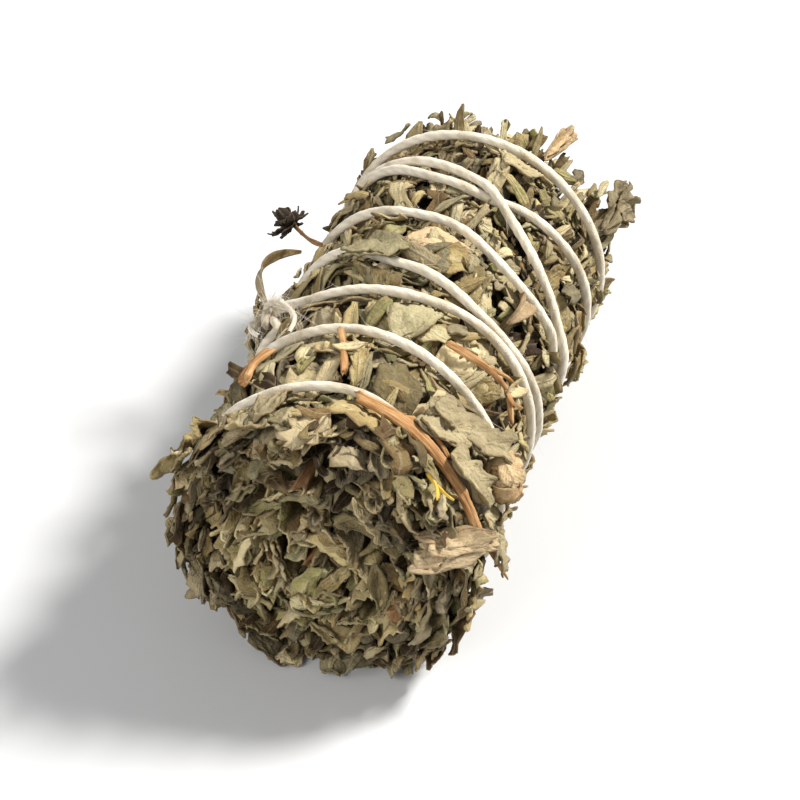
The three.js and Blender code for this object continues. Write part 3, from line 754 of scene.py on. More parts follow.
def end_scraps(heap, rng, end, angles, outer, spacing):
    """Crumpled leaves that lie across an end of the bundle, but leave its hollows open."""
    count, turned, radius = end_places(rng, end, angles, (0, outer), spacing)
    sheets = leaf_sheets(rng, count, *SCRAP_GRID, SCRAPS)
    zero = np.zeros(count)
    radial = np.stack([np.sin(turned), zero, np.cos(turned)], -1)
    around = np.stack([np.cos(turned), zero, -np.sin(turned)], -1)
    way = rng.normal(0, STILL, count)[:, None]
    ahead = np.cos(way) * around + np.sin(way) * radial
    tilt = rng.normal(MEAN_TILT, TILTED, count)[:, None]
    face = np.array([0.0, end.way, 0.0])
    sideways = np.cos(tilt) * np.cross(face, ahead) + np.sin(tilt) * face
    deep, dome, cavity = end_depths(end, turned, radius)
    back = dome + SCRAP_HOLLOW * deep + cavity + rng.uniform(0.2, 1.8, count)
    middle = on_bundle(np.degrees(turned), end.limit - end.way * back, radius)
    points = set_out(each(middle), sheets, (each(ahead), each(sideways), each(np.cross(ahead, sideways))))
    laid = pressed(trimmed(within_bundle(points)))
    # Painted shade: the scraps are darker and browner in the hollows and cavities.
    tint = bundle_tints(rng, count, 0.25 * deep + CAVITY_PAINTED_SHADE * cavity)
    kept = deep + cavity / DEEPEST_CAVITY < OPEN_FROM
    heap.add(laid[kept], SCRAP_THICKNESS, tint[kept])


def within_bundle(points):
    """Points that stand out past the leafy surface are drawn back in to it."""
    angle, y, radius = off_bundle(points)
    limit = LEAF_RADIUS + 0.4 + bundle_swell(angle, y)
    over = np.maximum(radius - limit, 0)
    return on_bundle(angle, y, radius - over + 1.5 * np.tanh(over / 4))


HEART_START, HEART_STOP = 7.5, 5.0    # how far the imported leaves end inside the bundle's two ends


def heart(index):
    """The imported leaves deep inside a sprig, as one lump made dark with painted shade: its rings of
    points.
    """
    arc = np.linspace(-0.5, 0.5, 9) * SECTOR * 0.99 + index * SECTOR
    places = np.linspace(CUT_END + HEART_START, TIP_END - HEART_STOP, 30)
    rings = []
    for y in places:
        turned = arc + LAY_TWIST * y / LENGTH
        wobble = 0.5 * np.sin(0.31 * turned + 0.9 * y) + 0.4 * np.sin(0.17 * turned - 1.7 * y)
        narrow = 3.0 * hump((y - CUT_END - HEART_START) / 4)
        outer = pressed(on_bundle(turned, np.full_like(turned, y), HEART_RADIUS + 0.4 + wobble - narrow))
        inner = on_bundle(turned[::-1], np.full_like(turned, y), np.full_like(turned, 0.5))
        rings.append(np.vstack([outer, inner]))
    return np.array(rings)


def make_hearts(material):
    """The lumps inside the six outer sprigs, made dark with painted shade, as one piece."""
    lumps = [heart(index) for index in range(OUTER_SPRIGS)]
    rings, around = lumps[0].shape[:2]
    faces = [loft_faces(rings, around, k * rings * around) for k in range(OUTER_SPRIGS)]
    points = np.vstack([lump.reshape(-1, 3) for lump in lumps])
    piece = make_mesh("packed_leaves_inside", points, np.vstack(faces))
    piece.data.materials.append(material)
    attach(piece, "root")


def loft_faces(rings, around, offset=0):
    """Quads over rings of points, with each end closed by a strip of quads between its two halves."""
    half = around // 2
    k = np.arange(half - 1)
    cap = np.stack([k, around - 1 - k, around - 2 - k, k + 1], -1)
    last = (rings - 1) * around
    return np.vstack([tube_faces(rings, around), cap, cap[:, ::-1] + last]) + offset


def tube_faces(rings, around):
    """Quads between rings of points, open at both ends."""
    i, j = np.meshgrid(np.arange(rings - 1), np.arange(around), indexing="ij")
    a, b = i * around + j, i * around + (j + 1) % around
    return np.stack([a, b, b + around, a + around], -1).reshape(-1, 4)


# ---------- Materials ----------

class Shader:
    """Builds a node material a step at a time."""

    def __init__(self, name):
        self.material = bpy.data.materials.new(name)
        self.material.use_nodes = True
        self.tree = self.material.node_tree
        self.out = self.tree.nodes["Principled BSDF"]

    def node(self, kind, inputs=None, **settings):
        node = self.tree.nodes.new("ShaderNode" + kind)
        for key, value in settings.items():
            setattr(node, key, value)
        for key, value in (inputs or {}).items():
            self.put(node.inputs[key], value)
        return node

    def put(self, socket, value):
        if hasattr(value, "is_output"):
            self.tree.links.new(value, socket)
        else:
            socket.default_value = value

    def place(self):
        return self.node("TexCoord").outputs["Object"]

    def noise(self, scale, detail=3.0, roughness=0.6, at=None):
        return self.node("TexNoise", {"Vector": at or self.place(), "Scale": scale, "Detail": detail,
                                      "Roughness": roughness}).outputs["Fac"]

    def ramp(self, value, stops):
        ramp = self.node("ValToRGB", {"Fac": value})
        elements = ramp.color_ramp.elements
        while len(elements) < len(stops):
            elements.new(0.5)
        for element, (place, colour) in zip(elements, stops):
            element.position = place
            element.color = (*colour, 1)
        return ramp.outputs["Color"]

    def calc(self, a, b=0.0, operation="ADD", clamp=False):
        node = self.node("Math", operation=operation, use_clamp=clamp)
        self.put(node.inputs[0], a)
        self.put(node.inputs[1], b)
        return node.outputs[0]

    def times(self, a, b, clamp=False):
        return self.calc(a, b, "MULTIPLY", clamp)

    def mix(self, share, a, b, blend="MIX"):
        node = self.node("Mix", data_type="RGBA", blend_type=blend)
        self.put(node.inputs["Factor"], share)
        self.put(node.inputs[6], a)
        self.put(node.inputs[7], b)
        return node.outputs[2]

    def parts(self, attribute):
        source = self.node("Attribute", attribute_name=attribute)
        return self.node("SeparateXYZ", {"Vector": source.outputs["Vector"]}).outputs

    def bump(self, height, distance, strength=1.0, under=None):
        inputs = {"Height": height, "Distance": distance * MM, "Strength": strength}
        if under is not None:
            inputs["Normal"] = under
        return self.node("Bump", inputs).outputs["Normal"]

    def finish(self, **sockets):
        for key, value in sockets.items():
            self.put(self.out.inputs[key.replace("_", " ")], value)
        return self.material


LEAF_TONES = (
    (0.00, (0.060, 0.032, 0.011)),
    (0.18, (0.165, 0.103, 0.039)),
    (0.38, (0.300, 0.222, 0.092)),
    (0.58, (0.410, 0.327, 0.158)),
    (0.80, (0.220, 0.203, 0.072)),
    (1.00, (0.440, 0.378, 0.212)),
)
FELT = (0.490, 0.420, 0.265)
DRY_EDGE, MIDRIB = (0.16, 0.105, 0.055, 1), (0.50, 0.43, 0.29, 1)
# Painted shade: the near-black tones of the leaves deep inside.
HEART_SHADE_TONES = ((0.3, (0.012, 0.008, 0.004)), (0.55, (0.06, 0.042, 0.022)), (0.75, (0.13, 0.10, 0.055)))
TAN_TONES = (
    (0.00, (0.150, 0.075, 0.025)),
    (0.35, (0.360, 0.215, 0.095)),
    (0.60, (0.560, 0.410, 0.225)),
    (1.00, (0.640, 0.520, 0.330)),
)
TAN_FELT = (0.560, 0.430, 0.260)
BUD_TONES = ((0.00, (0.018, 0.012, 0.009)), (0.60, (0.075, 0.045, 0.028)), (1.00, (0.150, 0.100, 0.060)))
BUD_FELT = (0.060, 0.042, 0.030)
BARK_TONES = (
    (0.30, (0.100, 0.042, 0.015)),
    (0.42, (0.280, 0.130, 0.045)),
    (0.54, (0.440, 0.245, 0.100)),
    (0.68, (0.580, 0.410, 0.225)),
)
TWINE_TONES = ((0.32, (0.42, 0.35, 0.24)), (0.48, (0.64, 0.57, 0.45)), (0.68, (0.76, 0.70, 0.58)))
# Darker tones for the stems: painted shade for the stems recessed in the cut end; the bud's stalk uses them
# too.
STEM_SHADE_TONES = ((0.30, (0.045, 0.024, 0.010)), (0.50, (0.190, 0.095, 0.038)), (0.68, (0.330, 0.200, 0.095)))
SHOOT_TONES = ((0.30, (0.300, 0.160, 0.020)), (0.50, (0.600, 0.380, 0.040)), (0.70, (0.680, 0.500, 0.160)))


def leaf_material(name, tones=LEAF_TONES, felt=FELT, felt_share=0.4):
    """Dried leaf: blotched top, pale felted underside, brown edges and a lighter midrib."""
    sh = Shader(name)
    along, across, side = sh.parts("leaf_place")
    tone, bright, _ = sh.parts("leaf_tint")
    blotch = sh.noise(330, 4, 0.65)
    fine = sh.noise(1500, 3, 0.7)
    shifted = sh.calc(tone, sh.times(sh.calc(blotch, -0.5), 0.75), clamp=True)
    top = sh.ramp(shifted, tones)
    under = sh.mix(sh.times(blotch, felt_share), top, (*felt, 1))
    under = sh.mix(felt_share, under, (*felt, 1))
    colour = sh.mix(side, under, top)
    # Edges dry out browner, the midrib stays pale.
    rim = sh.calc(sh.times(across, across), 3.0, "POWER")
    rim = sh.times(rim, sh.times(fine, 0.9), clamp=True)
    colour = sh.mix(rim, colour, DRY_EDGE)
    rib = sh.calc(sh.calc(1.0, sh.times(across, across), "SUBTRACT"), 60.0, "POWER")
    colour = sh.mix(sh.times(rib, 0.25), colour, MIDRIB)
    level = sh.calc(sh.times(bright, 0.95), sh.times(fine, 0.5))
    level = sh.calc(level, 0.15)
    grey = sh.node("CombineColor", {"Red": level, "Green": level, "Blue": level}).outputs["Color"]
    colour = sh.mix(1.0, colour, grey, "MULTIPLY")
    # Side veins: slanting ridges on both sides of the midrib.
    off_rib = sh.calc(across, operation="ABSOLUTE")
    slant = sh.calc(sh.times(along, 9.0), sh.times(off_rib, 3.0), "SUBTRACT")
    vein = sh.calc(sh.times(slant, 2 * math.pi), operation="SINE")
    height = sh.calc(sh.times(vein, 0.05), sh.calc(fine, sh.noise(700, 3, 0.6)))
    height = sh.calc(height, sh.times(rib, 0.5))
    normal = sh.bump(height, 0.28)
    return sh.finish(Base_Color=colour, Roughness=0.86, Normal=normal, Specular_IOR_Level=0.25)


def heart_material():
    """The leaves deep inside, made dark with painted shade, and rough."""
    sh = Shader("leaf_heart_painted_shade")
    colour = sh.ramp(sh.noise(420, 4, 0.7), HEART_SHADE_TONES)
    return sh.finish(Base_Color=colour, Roughness=0.95, Normal=sh.bump(sh.noise(600, 4), 0.6),
                     Specular_IOR_Level=0.1)


def twine_material():
    """Cotton twine: off-white, greyer and dustier in patches, with painted shade in the grooves between its
    plies and fine fibres along the twist.
    """
    sh = Shader("cotton_twine")
    dirt = sh.noise(170, 4, 0.65)
    fibre = sh.noise(4200, 2, 0.6)
    colour = sh.ramp(dirt, TWINE_TONES)
    strands = sh.parts("twine_place")
    # Painted shade: darker in the grooves between the plies.
    colour = sh.mix(sh.times(strands[0], 0.45), colour, (0.40, 0.35, 0.27, 1))
    height = sh.calc(fibre, sh.noise(1600, 3, 0.7))
    return sh.finish(Base_Color=colour, Roughness=0.92, Normal=sh.bump(height, 0.12),
                     Specular_IOR_Level=0.2, Sheen_Weight=0.25, Sheen_Roughness=0.5)


def stem_material(name, tones):
    """Dry bark: long grain, darker in its grooves, with worn paler streaks."""
    sh = Shader(name)
    place = sh.node("Attribute", attribute_name="bark_place").outputs["Vector"]
    grain = sh.noise(2.6, 4, 0.6, at=place)
    streaks = sh.noise(0.8, 3, 0.6, at=place)
    colour = sh.ramp(sh.calc(sh.times(grain, 0.6), sh.times(streaks, 0.4)), tones)
    return sh.finish(Base_Color=colour, Roughness=0.75, Normal=sh.bump(grain, 0.3),
                     Specular_IOR_Level=0.25)


# ---------- Tubes: twine, fibres, stems and twigs ----------

TAPE_QUADS = 240                 # in one row of a tube's bake map


class TubeHeap:
    """Tubes gathered into one mesh. Their skins lie on the bake map as one long tape cut into rows."""

    def __init__(self):
        self.batches = []

    def add(self, points, values=None):
        """Adds equal tubes: points (count, rings, sides, 3), with three values for each point."""
        self.batches.append((points, np.zeros_like(points) if values is None else values))

    def mesh(self, name, attribute):
        points, faces, maps, values = [], [], [], []
        base = row = 0
        for tubes, value in self.batches:
            count, rings, sides, _ = tubes.shape
            quads = tube_faces(rings, sides)
            i, j = np.meshgrid(np.arange(rings - 1), np.arange(sides), indexing="ij")
            tape = np.arange(count)[:, None] * (rings - 1) + i.ravel()[None]
            column, shelf = tape % TAPE_QUADS, tape // TAPE_QUADS
            corner = np.array([(0, 0), (0, 1), (1, 1), (1, 0)])
            place = np.stack([column, row + shelf * (sides + 1) + j.ravel()[None]], -1)
            maps.append((place[:, :, None] + corner).reshape(-1, 2))
            starts = base + rings * sides * np.arange(count)
            faces.append((quads[None] + starts[:, None, None]).reshape(-1, 4))
            points.append(tubes.reshape(-1, 3))
            values.append(value.reshape(-1, 3))
            base += count * rings * sides
            row += (shelf.max() + 1) * (sides + 1)
        corners = np.vstack(maps) / (TAPE_QUADS, row)
        return make_mesh(name, np.vstack(points), np.vstack(faces), corners, {attribute: np.vstack(values)})


def tube_frames(path):
    """Two unit vectors square to a path at each of its points, that don't spin about it."""
    tangent = np.gradient(path, axis=0)
    tangent /= np.linalg.norm(tangent, axis=1, keepdims=True)
    first = np.cross(tangent[0], (0.3, 0.2, 0.9))
    side = np.empty_like(path)
    side[0] = first / np.linalg.norm(first)
    for k in range(1, len(path)):
        carried = side[k - 1] - tangent[k] * (side[k - 1] @ tangent[k])
        side[k] = carried / np.linalg.norm(carried)
    return tangent, side, np.cross(tangent, side)


def ring_points(path, radius, turn):
    """Rings of points round a path, for radii (rings, sides) and the angles of the sides."""
    _, side, up = tube_frames(path)
    return (path[:, None] + radius[..., None] * (np.cos(turn)[None, :, None] * side[:, None]
                                                 + np.sin(turn)[None, :, None] * up[:, None]))


# ---------- Twine ----------

PLIES = 3
PLY_DEPTH = 0.09                 # how far the grooves between plies cut in, as a share of the radius
TWIST_LENGTH = 7.5               # of one full turn of the plies
RING_SIDES = 12
FUZZ = 1100                      # loose fibres standing out of the twine
FRAY = 260                       # longer ones round the knot and its tails
FIBRE_RADIUS = 0.035
KNOT_SIZE = (0.6, 0.7, 0.62)     # of its loops, round the bundle, along it and outwards
TAIL_SPACING = 0.35              # between two rings of the knot's and the tails' mesh
TAIL_SHARE, TAIL_TAPER = 0.8, 0.55    # how thick they are beside the winding, and a tail's tip beside that


def twisted_tube(path, radius, seed, taper):
    """A twisted string along a path: rings of points, and how deep each point is in a groove."""
    rng = np.random.default_rng(seed)
    rings = len(path)
    along = np.arange(rings) * np.linalg.norm(path[1] - path[0])
    turn = np.linspace(0, 2 * np.pi, RING_SIDES, endpoint=False)
    phase = rng.uniform(0, 6, 4)
    twist = 2 * np.pi * along / TWIST_LENGTH + 0.8 * np.sin(along / 9.0 + phase[0])
    groove = (0.5 - 0.5 * np.cos(PLIES * (turn[None, :] - twist[:, None]))) ** 2
    slack = 0.65 + 0.35 * np.sin(along / 13.0 + phase[1])
    uneven = 1 + 0.05 * np.sin(along / 3.1 + phase[2]) + 0.035 * np.sin(along / 1.1 + phase[3])
    rough = rng.normal(0, 0.02, (rings, RING_SIDES))
    size = radius * np.linspace(1, taper, rings) * uneven
    r = size[:, None] * (1 - PLY_DEPTH * slack[:, None] * groove + rough)
    place = np.stack(np.broadcast_arrays(groove, along[:, None], turn[None, :]), -1)
    return ring_points(path, r, turn), place


def knot_path():
    """A tight overhand knot that lies on the leaves."""
    a = np.linspace(0.25, 2 * np.pi - 0.25, 90)
    flat = np.stack([np.sin(a) + 2 * np.sin(2 * a), np.cos(a) - 2 * np.cos(2 * a), -1.1 * np.sin(3 * a)], -1)
    centre = on_bundle(KNOT_ANGLE, KNOT_Y, KNOT_RADIUS + 0.1)
    ahead, outward = np.array([0.0, 1.0, 0.0]), outward_at(KNOT_ANGLE)
    return centre + (flat * KNOT_SIZE) @ np.stack([np.cross(ahead, outward), ahead, outward])


def fibres(rng, paths, count, length, stand):
    """Loose fibres that leave the twine at random places and curl away from it."""
    tangents = np.vstack([tube_frames(path)[0] for path in paths])
    starts = np.vstack(paths)
    pick = rng.integers(0, len(starts), count)
    along = tangents[pick] * rng.choice((-1.0, 1.0), (count, 1))
    outward = rng.normal(0, 1, (count, 3))
    outward -= along * (outward * along).sum(1, keepdims=True)
    outward /= np.linalg.norm(outward, axis=1, keepdims=True)
    curl = rng.normal(0, 0.5, (count, 3))
    reach = rng.uniform(*length, (count, 1, 1))
    t = np.linspace(0, 1, 4)[None, :, None]
    root = starts[pick] + outward * TWINE_RADIUS * 0.8
    line = (root[:, None] + reach * (t * along[:, None] + stand * t * outward[:, None]
                                     + t**2 * curl[:, None]))
    turn = np.linspace(0, 2 * np.pi, 3, endpoint=False)
    third = np.cross(along, outward)
    ring = (np.cos(turn)[None, :, None] * outward[:, None] + np.sin(turn)[None, :, None] * third[:, None])
    thin = FIBRE_RADIUS * (1 - 0.6 * t)[..., None]
    points = line[:, :, None] + thin * ring[:, None]
    points[..., 2] = np.maximum(points[..., 2], 0.1)
    return points


def make_twine(material):
    """The winding, the knot and the two tails, as one piece with its loose fibres."""
    rng = np.random.default_rng(TWINE_SEED)
    heap = TubeHeap()
    lines = [(WINDING, 1.0, 1.0), (evenly(knot_path(), TAIL_SPACING), TAIL_SHARE, 1.0)]
    lines += [(smooth_route(route, TAIL_SPACING), TAIL_SHARE, TAIL_TAPER) for route in TAIL_ROUTES]
    for seed, (path, share, taper) in enumerate(lines):
        tube, place = twisted_tube(path, TWINE_RADIUS * share, seed, taper)
        heap.add(tube[None], place[None])
    paths = [path for path, _, _ in lines]
    heap.add(fibres(rng, paths[:1], FUZZ, (0.6, 2.0), 0.35))
    heap.add(fibres(rng, paths[1:], FRAY, (1.2, 4.5), 0.4))
    dress(heap.mesh("cotton_twine", "twine_place"), material, "cotton_twine", "twine")


# ---------- Stems and twigs ----------

STEM_RADIUS = 1.1
STEM_CENTRES = 14.2              # of the outer stems, from the axis
STEM_START = 2.4                 # how far inside the cut end the stems begin
STEM_LENGTH = 70
STEM_WAVE = 0.8                  # how far their distance from the axis changes
STEM_SWAY = 2.2                  # degrees to both sides
CENTRE_STEM_SWAY = 1.4           # millimetres

# Each twig: its radius, then its points by angle, place along the bundle and distance from its axis.
TWIGS = {
    "twig_top": (0.65, ((-10, -17.4, 22.3), (-5, -21.5, 22.6), (-1, -25.9, 22.3))),
    "twig_left": (0.8, ((-42, -26.2, 22.9), (-41, -22.8, 23.1), (-38, -19.4, 22.5))),
    "twig_long": (0.85, ((9, -30.4, 22.6), (26, -31.8, 23.2), (44, -33.4, 23.3), (60, -34.6, 23.2),
                         (74, -35.6, 23.4))),
    "twig_forked": (0.45, ((28, -12.6, 22.5), (43, -12.0, 22.8), (56, -11.6, 22.8), (65, -14.4, 22.7))),
    "twig_low": (0.4, ((93, -29.8, 22.6), (100, -29.4, 24.0), (105, -28.9, 25.6))),
    "yellow_shoot": (0.35, ((42, -36.8, 23.0), (45, -38.6, 24.2), (47, -40.6, 24.6))),
    "bud_stalk": (0.35, ((-50, 10.4, 22.4), (-57, 12.8, 23.6), (-61, 15.0, 25.6), (-62, 16.2, 27.4))),
}
# Thin side shoots that leave a twig: the twig, the shoot's radius and its points.
SIDE_SHOOTS = (
    ("twig_long", 0.4, ((22, -31.5, 23.1), (31, -30.4, 23.5), (40, -30.9, 23.4), (46, -31.8, 23.2))),
    ("twig_forked", 0.3, ((43, -12.0, 22.8), (52, -10.4, 23.2), (58, -9.8, 23.2))),
    ("twig_forked", 0.28, ((56, -11.6, 22.8), (60, -12.8, 23.4), (64, -12.0, 23.6))),
    ("yellow_shoot", 0.22, ((45, -38.6, 24.2), (48, -39.2, 24.9), (51, -39.2, 25.2))),
)
CLOSING = (0.03, 0.6, 1.0)       # rings that close a twig's end, as shares of its radius
TWIG_SIDES, STEM_SIDES = 14, 12
TWIG_FLATNESS, STEM_FLATNESS = 0.3, 0.1
TWIG_TAPER, STEM_TAPER = 0.65, 0.9
TWIG_SPACING = 0.4               # between two rings of a twig's mesh


def branch(path, radius, sides, seed, flatness, taper):
    """A twig along a path: flattened, ridged and knobbly, with closed broken ends, and its bark's places."""
    rng = np.random.default_rng(seed)
    rings = len(path)
    along = np.linspace(0, 1, rings)
    turn = np.linspace(0, 2 * np.pi, sides, endpoint=False)
    lean = rng.uniform(0, 6)
    flat = 1 - flatness * np.cos(2 * (turn[None] - 0.7 * along[:, None] - lean))
    ridges = (1 + 0.08 * np.cos(5 * turn[None] + along[:, None]) + 0.05 * np.cos(9 * turn[None] + 2)
              + rng.normal(0, 0.02, (rings, sides)))
    uneven = 1 + 0.12 * np.sin(9 * along + lean) + 0.3 * hump((along - rng.uniform(0.25, 0.75)) / 0.05)
    r = radius * (np.linspace(1, taper, rings) * uneven)[:, None] * flat * ridges
    tube = ring_points(path, r, turn)
    skew = 0.9 * radius * np.cos(turn - lean)[:, None] + 0.3 * radius * rng.normal(0, 1, (sides, 1))
    start_way, end_way = unit(path[0] - path[1]), unit(path[-1] - path[-2])
    start = [path[0] + (tube[0] - path[0]) * share + start_way * skew * share for share in CLOSING]
    end = [path[-1] + (tube[-1] - path[-1]) * share + end_way * skew * share for share in CLOSING[::-1]]
    millimetres = np.linalg.norm(path[1] - path[0]) * np.arange(rings)
    distance = np.concatenate([[millimetres[0]] * 3, millimetres[1:-1], [millimetres[-1]] * 3])
    place = np.stack(np.broadcast_arrays(0.12 * distance[:, None] + 7 * seed, radius * np.cos(turn)[None],
                                         radius * np.sin(turn)[None]), -1)
    return np.stack([*start, *tube[1:-1], *end]), place


def bark_piece(name, branches, material, slot):
    """The piece for a stem or a twig and its side shoots."""
    heap = TubeHeap()
    for tube, place in branches:
        heap.add(tube[None], place[None])
    dress(heap.mesh(f"{name}_bark", "bark_place"), material, slot, name)


def make_twig(name, routes, material, slot):
    """One twig with its side shoots. Each route is a radius and its points."""
    branches = []
    for seed, (radius, points) in enumerate(routes):
        path = smooth_route(points, TWIG_SPACING)
        branches.append(branch(path, radius, TWIG_SIDES, seed + len(points), TWIG_FLATNESS, TWIG_TAPER))
    bark_piece(name, branches, material, slot)


def make_stem(index, material):
    """A woody stem inside a sprig. The last one runs down the middle of the bundle."""
    centre = index == OUTER_SPRIGS
    name = "stem_centre" if centre else f"stem_{index + 1}"
    length = STEM_LENGTH + 3 * math.sin(2.6 * index)
    y = CUT_END + STEM_START - 0.9 * math.cos(3.1 * index) + np.linspace(0, length, 90)
    sway = 0.0 if centre else STEM_SWAY * np.sin(0.09 * y + 1.9 * index)
    if centre:
        radius = CENTRE_STEM_SWAY * np.sin(0.08 * y)
    else:
        radius = STEM_CENTRES + STEM_WAVE * np.sin(0.07 * y + index)
    path = on_bundle(index * SECTOR + LAY_TWIST * y / LENGTH + sway, y, radius)
    stem = branch(path, STEM_RADIUS, STEM_SIDES, index, STEM_FLATNESS, STEM_TAPER)
    bark_piece(name, [stem], material, "woody_stem")


# ---------- Loose leaves on the outside ----------

class Loose:
    """A loose leaf or a few together: place, heading, size, how far it stands up, and its looks."""

    def __init__(self, name, angle, y, turn, size, lift, curl, style, slot="dried_leaf",
                 tone=0.5, bright=0.6, over=False):
        self.name, self.angle, self.y, self.turn = name, angle, y, turn
        self.size, self.lift, self.curl, self.style = size, lift, curl, style
        self.slot, self.tone, self.bright, self.over = slot, tone, bright, over


# Each style: how many leaves lie together, how far they spread, and the ranges of their kind.
STYLES = {
    "flat": (1, 0.0, dict(lobes=(0.8, 1.4), lobe_depth=(0.1, 0.25), blunt=0, curl=(0.0, 0.06),
                          crumple=0.28, fold=(0.0, 0.1), twist=0.2)),
    "broken": (2, 0.25, dict(lobes=(1.2, 2.4), lobe_depth=(0.2, 0.5), blunt=0.6, curl=(-0.1, 0.25),
                             crumple=0.6, fold=(-0.1, 0.3), twist=0.5)),
    "folded": (1, 0.0, dict(lobes=(0.8, 1.4), lobe_depth=(0.05, 0.2), blunt=0, curl=(0.1, 0.25),
                            crumple=0.2, fold=(0.7, 0.95), twist=0.4)),
    "rolled": (2, 0.12, dict(lobes=(1.6, 2.6), lobe_depth=(0.15, 0.4), blunt=0.5, curl=(0.55, 0.85),
                             crumple=0.45, fold=(0.1, 0.4), twist=0.7)),
    "clump": (4, 0.55, dict(lobes=(1.4, 3.0), lobe_depth=(0.25, 0.6), blunt=0.4, curl=(-0.3, 0.6),
                            crumple=0.6, fold=(-0.4, 0.5), twist=1.2)),
    "arched": (1, 0.0, dict(lobes=(0.5, 0.9), lobe_depth=(0.0, 0.2), blunt=0, curl=(0.15, 0.3),
                            bend=(-0.02, 0.0), crumple=0.12, fold=(0.2, 0.4), twist=0.7)),
}
LOOSE_GRID = (18, 10)            # cells along and across each loose leaf
LOOSE_THICKNESS, LOOSE_TINT_SPREAD = 0.28, 0.06
CLUMP_SMALLEST = 0.75            # leaf, as a share of the size of a leaf by itself
OVER_GAP, OVER_SLOPE = 0.25, 0.9 # how far a leaf that lies over the twine clears it, and falls off beside it
LOOSE = (
    Loose("leaf_top_tan", 6, 7.6, 62, (11, 5), 0.7, 0.3, "flat", "tan_leaf", 0.5, 0.6),
    Loose("leaf_top_edge", -14, 1.2, 78, (12, 5.5), 1.6, 0.2, "broken", tone=0.72, bright=0.35, over=True),
    Loose("leaf_green", 14, -10.2, 40, (9, 5), 0.7, 0.4, "broken", tone=0.82, bright=0.6),
    Loose("leaf_orange_fold", 47, 4.2, 8, (9, 4), 1.3, 0.4, "folded", "tan_leaf", 0.3, 0.28),
    Loose("leaf_right_fold", 60, -9, 20, (7, 3.6), 1.0, 0.3, "folded", tone=0.6, bright=0.75),
    Loose("leaf_over_twine", 47, -25.2, 74, (13, 6), 1.7, 0.2, "broken", tone=0.28, bright=0.4, over=True),
    Loose("leaf_cover_upper", 38, -29.6, 66, (10, 5.2), 1.9, 0.3, "broken",
          tone=0.36, bright=0.45, over=True),
    Loose("leaf_cover_lower", 57, -30.6, 84, (10, 5.4), 2.1, 0.4, "broken", tone=0.3, bright=0.5, over=True),
    Loose("leaf_cover_side", 84, -30.6, 78, (11, 5), 1.9, 0.4, "broken", tone=0.4, bright=0.45, over=True),
    Loose("leaf_left_long", -70, 7.6, -4, (17, 2.6), 5.6, -4.8, "arched", tone=0.2, bright=0.3, over=True),
    Loose("leaf_left_clump", -76, 0.2, 20, (12, 6), 1.9, 1.4, "clump", tone=0.45, bright=0.35),
    Loose("leaf_left_low", -98, 8.4, 30, (10, 4.6), 1.0, 0.8, "clump", tone=0.4, bright=0.4),
    Loose("leaf_top_far", 24, 31.2, 70, (9, 4.4), 0.9, 0.3, "broken", bright=0.5),
    Loose("leaf_near_flap", -22, -36.2, 30, (11, 5.4), 1.2, 1.2, "broken", tone=0.34, bright=0.5),
    Loose("leaf_near_left", -62, -35.6, -28, (12, 5.4), 1.2, 1.0, "clump", tone=0.45, bright=0.45),
    Loose("leaf_tip_curled", 30, 39.9, 10, (6, 4), 1.5, 1.6, "rolled", "tan_leaf", 0.52, 0.7),
    Loose("leaf_tip_right", 68, 40.2, -16, (8, 5.5), 1.6, 1.4, "clump", tone=0.28, bright=0.25),
    Loose("leaf_back_left", -112, 24.6, 16, (11, 5), 1.1, 0.6, "broken"),
    Loose("leaf_right_side", 112, 0.6, -22, (11, 5), 1.1, 0.6, "broken"),
    Loose("leaf_right_far", 108, 20.6, 24, (10, 4.8), 1.1, 0.6, "broken"),
)


def laid_over(points):
    """A leaf's points lifted where they would cut through the twine, so that it lies over it."""
    angle, y, radius = off_bundle(points)
    distance, twine_radius = nearest_twine(angle, y)
    beside = np.maximum(distance - TWINE_RADIUS, 0)
    clear = twine_radius + TWINE_RADIUS + OVER_GAP - OVER_SLOPE * beside
    return on_bundle(angle, y, np.maximum(radius, clear))


def leaf_piece(name, points, thickness, tint, material, slot):
    """The piece for one loose part of the CAD model: closed leaves on these mid surfaces."""
    heap = LeafHeap()
    heap.add(points, thickness, tint)
    dress(heap.mesh(f"{name}_dry"), material, slot, name)


def make_loose(leaf, seed, materials):
    """The piece for one loose leaf of the CAD model."""
    rng = np.random.default_rng(LOOSE_SEED + seed)
    count, spread, ranges = STYLES[leaf.style]
    length, width = leaf.size
    smaller = CLUMP_SMALLEST if count > 1 else 1.0
    kind = LeafKind((length * smaller, length), (width * smaller, width * 1.1), **ranges)
    x, side, up = leaf_sheets(rng, count, *LOOSE_GRID, kind)
    t = np.linspace(-1, 1, LOOSE_GRID[0] + 1)[None, :, None]
    up = up + leaf.lift + leaf.curl * t**2
    offset = rng.uniform(-1, 1, (3, count)) * spread * (np.arange(count) > 0)
    angle = leaf.angle + np.degrees(offset[0] * width / LEAF_RADIUS)
    y = leaf.y + offset[1] * length / 2
    heading = np.radians(leaf.turn) + 1.2 * offset[2]
    laid = lay_on_bundle((x, side, up), angle, y, np.full(count, LEAF_RADIUS), heading, np.ones(count))
    laid = laid_over(laid) if leaf.over else pressed(laid)
    tint = draw_tints(rng, count, leaf.tone, leaf.bright, LOOSE_TINT_SPREAD)
    leaf_piece(leaf.name, rested(laid), LOOSE_THICKNESS, tint, materials[leaf.slot], leaf.slot)


BALL_SIZE, BALL_AT = (3.9, 4.4, 3.9), (69, -25.4, 25.2)
BUD_AT = (-62, 16.6, 28.3)
BUD_LEAN = 14                    # degrees that it leans up from straight outwards
BALL_LEAVES, BUD_BRACTS, SHEAF_STRIPS = 16, 30, 5


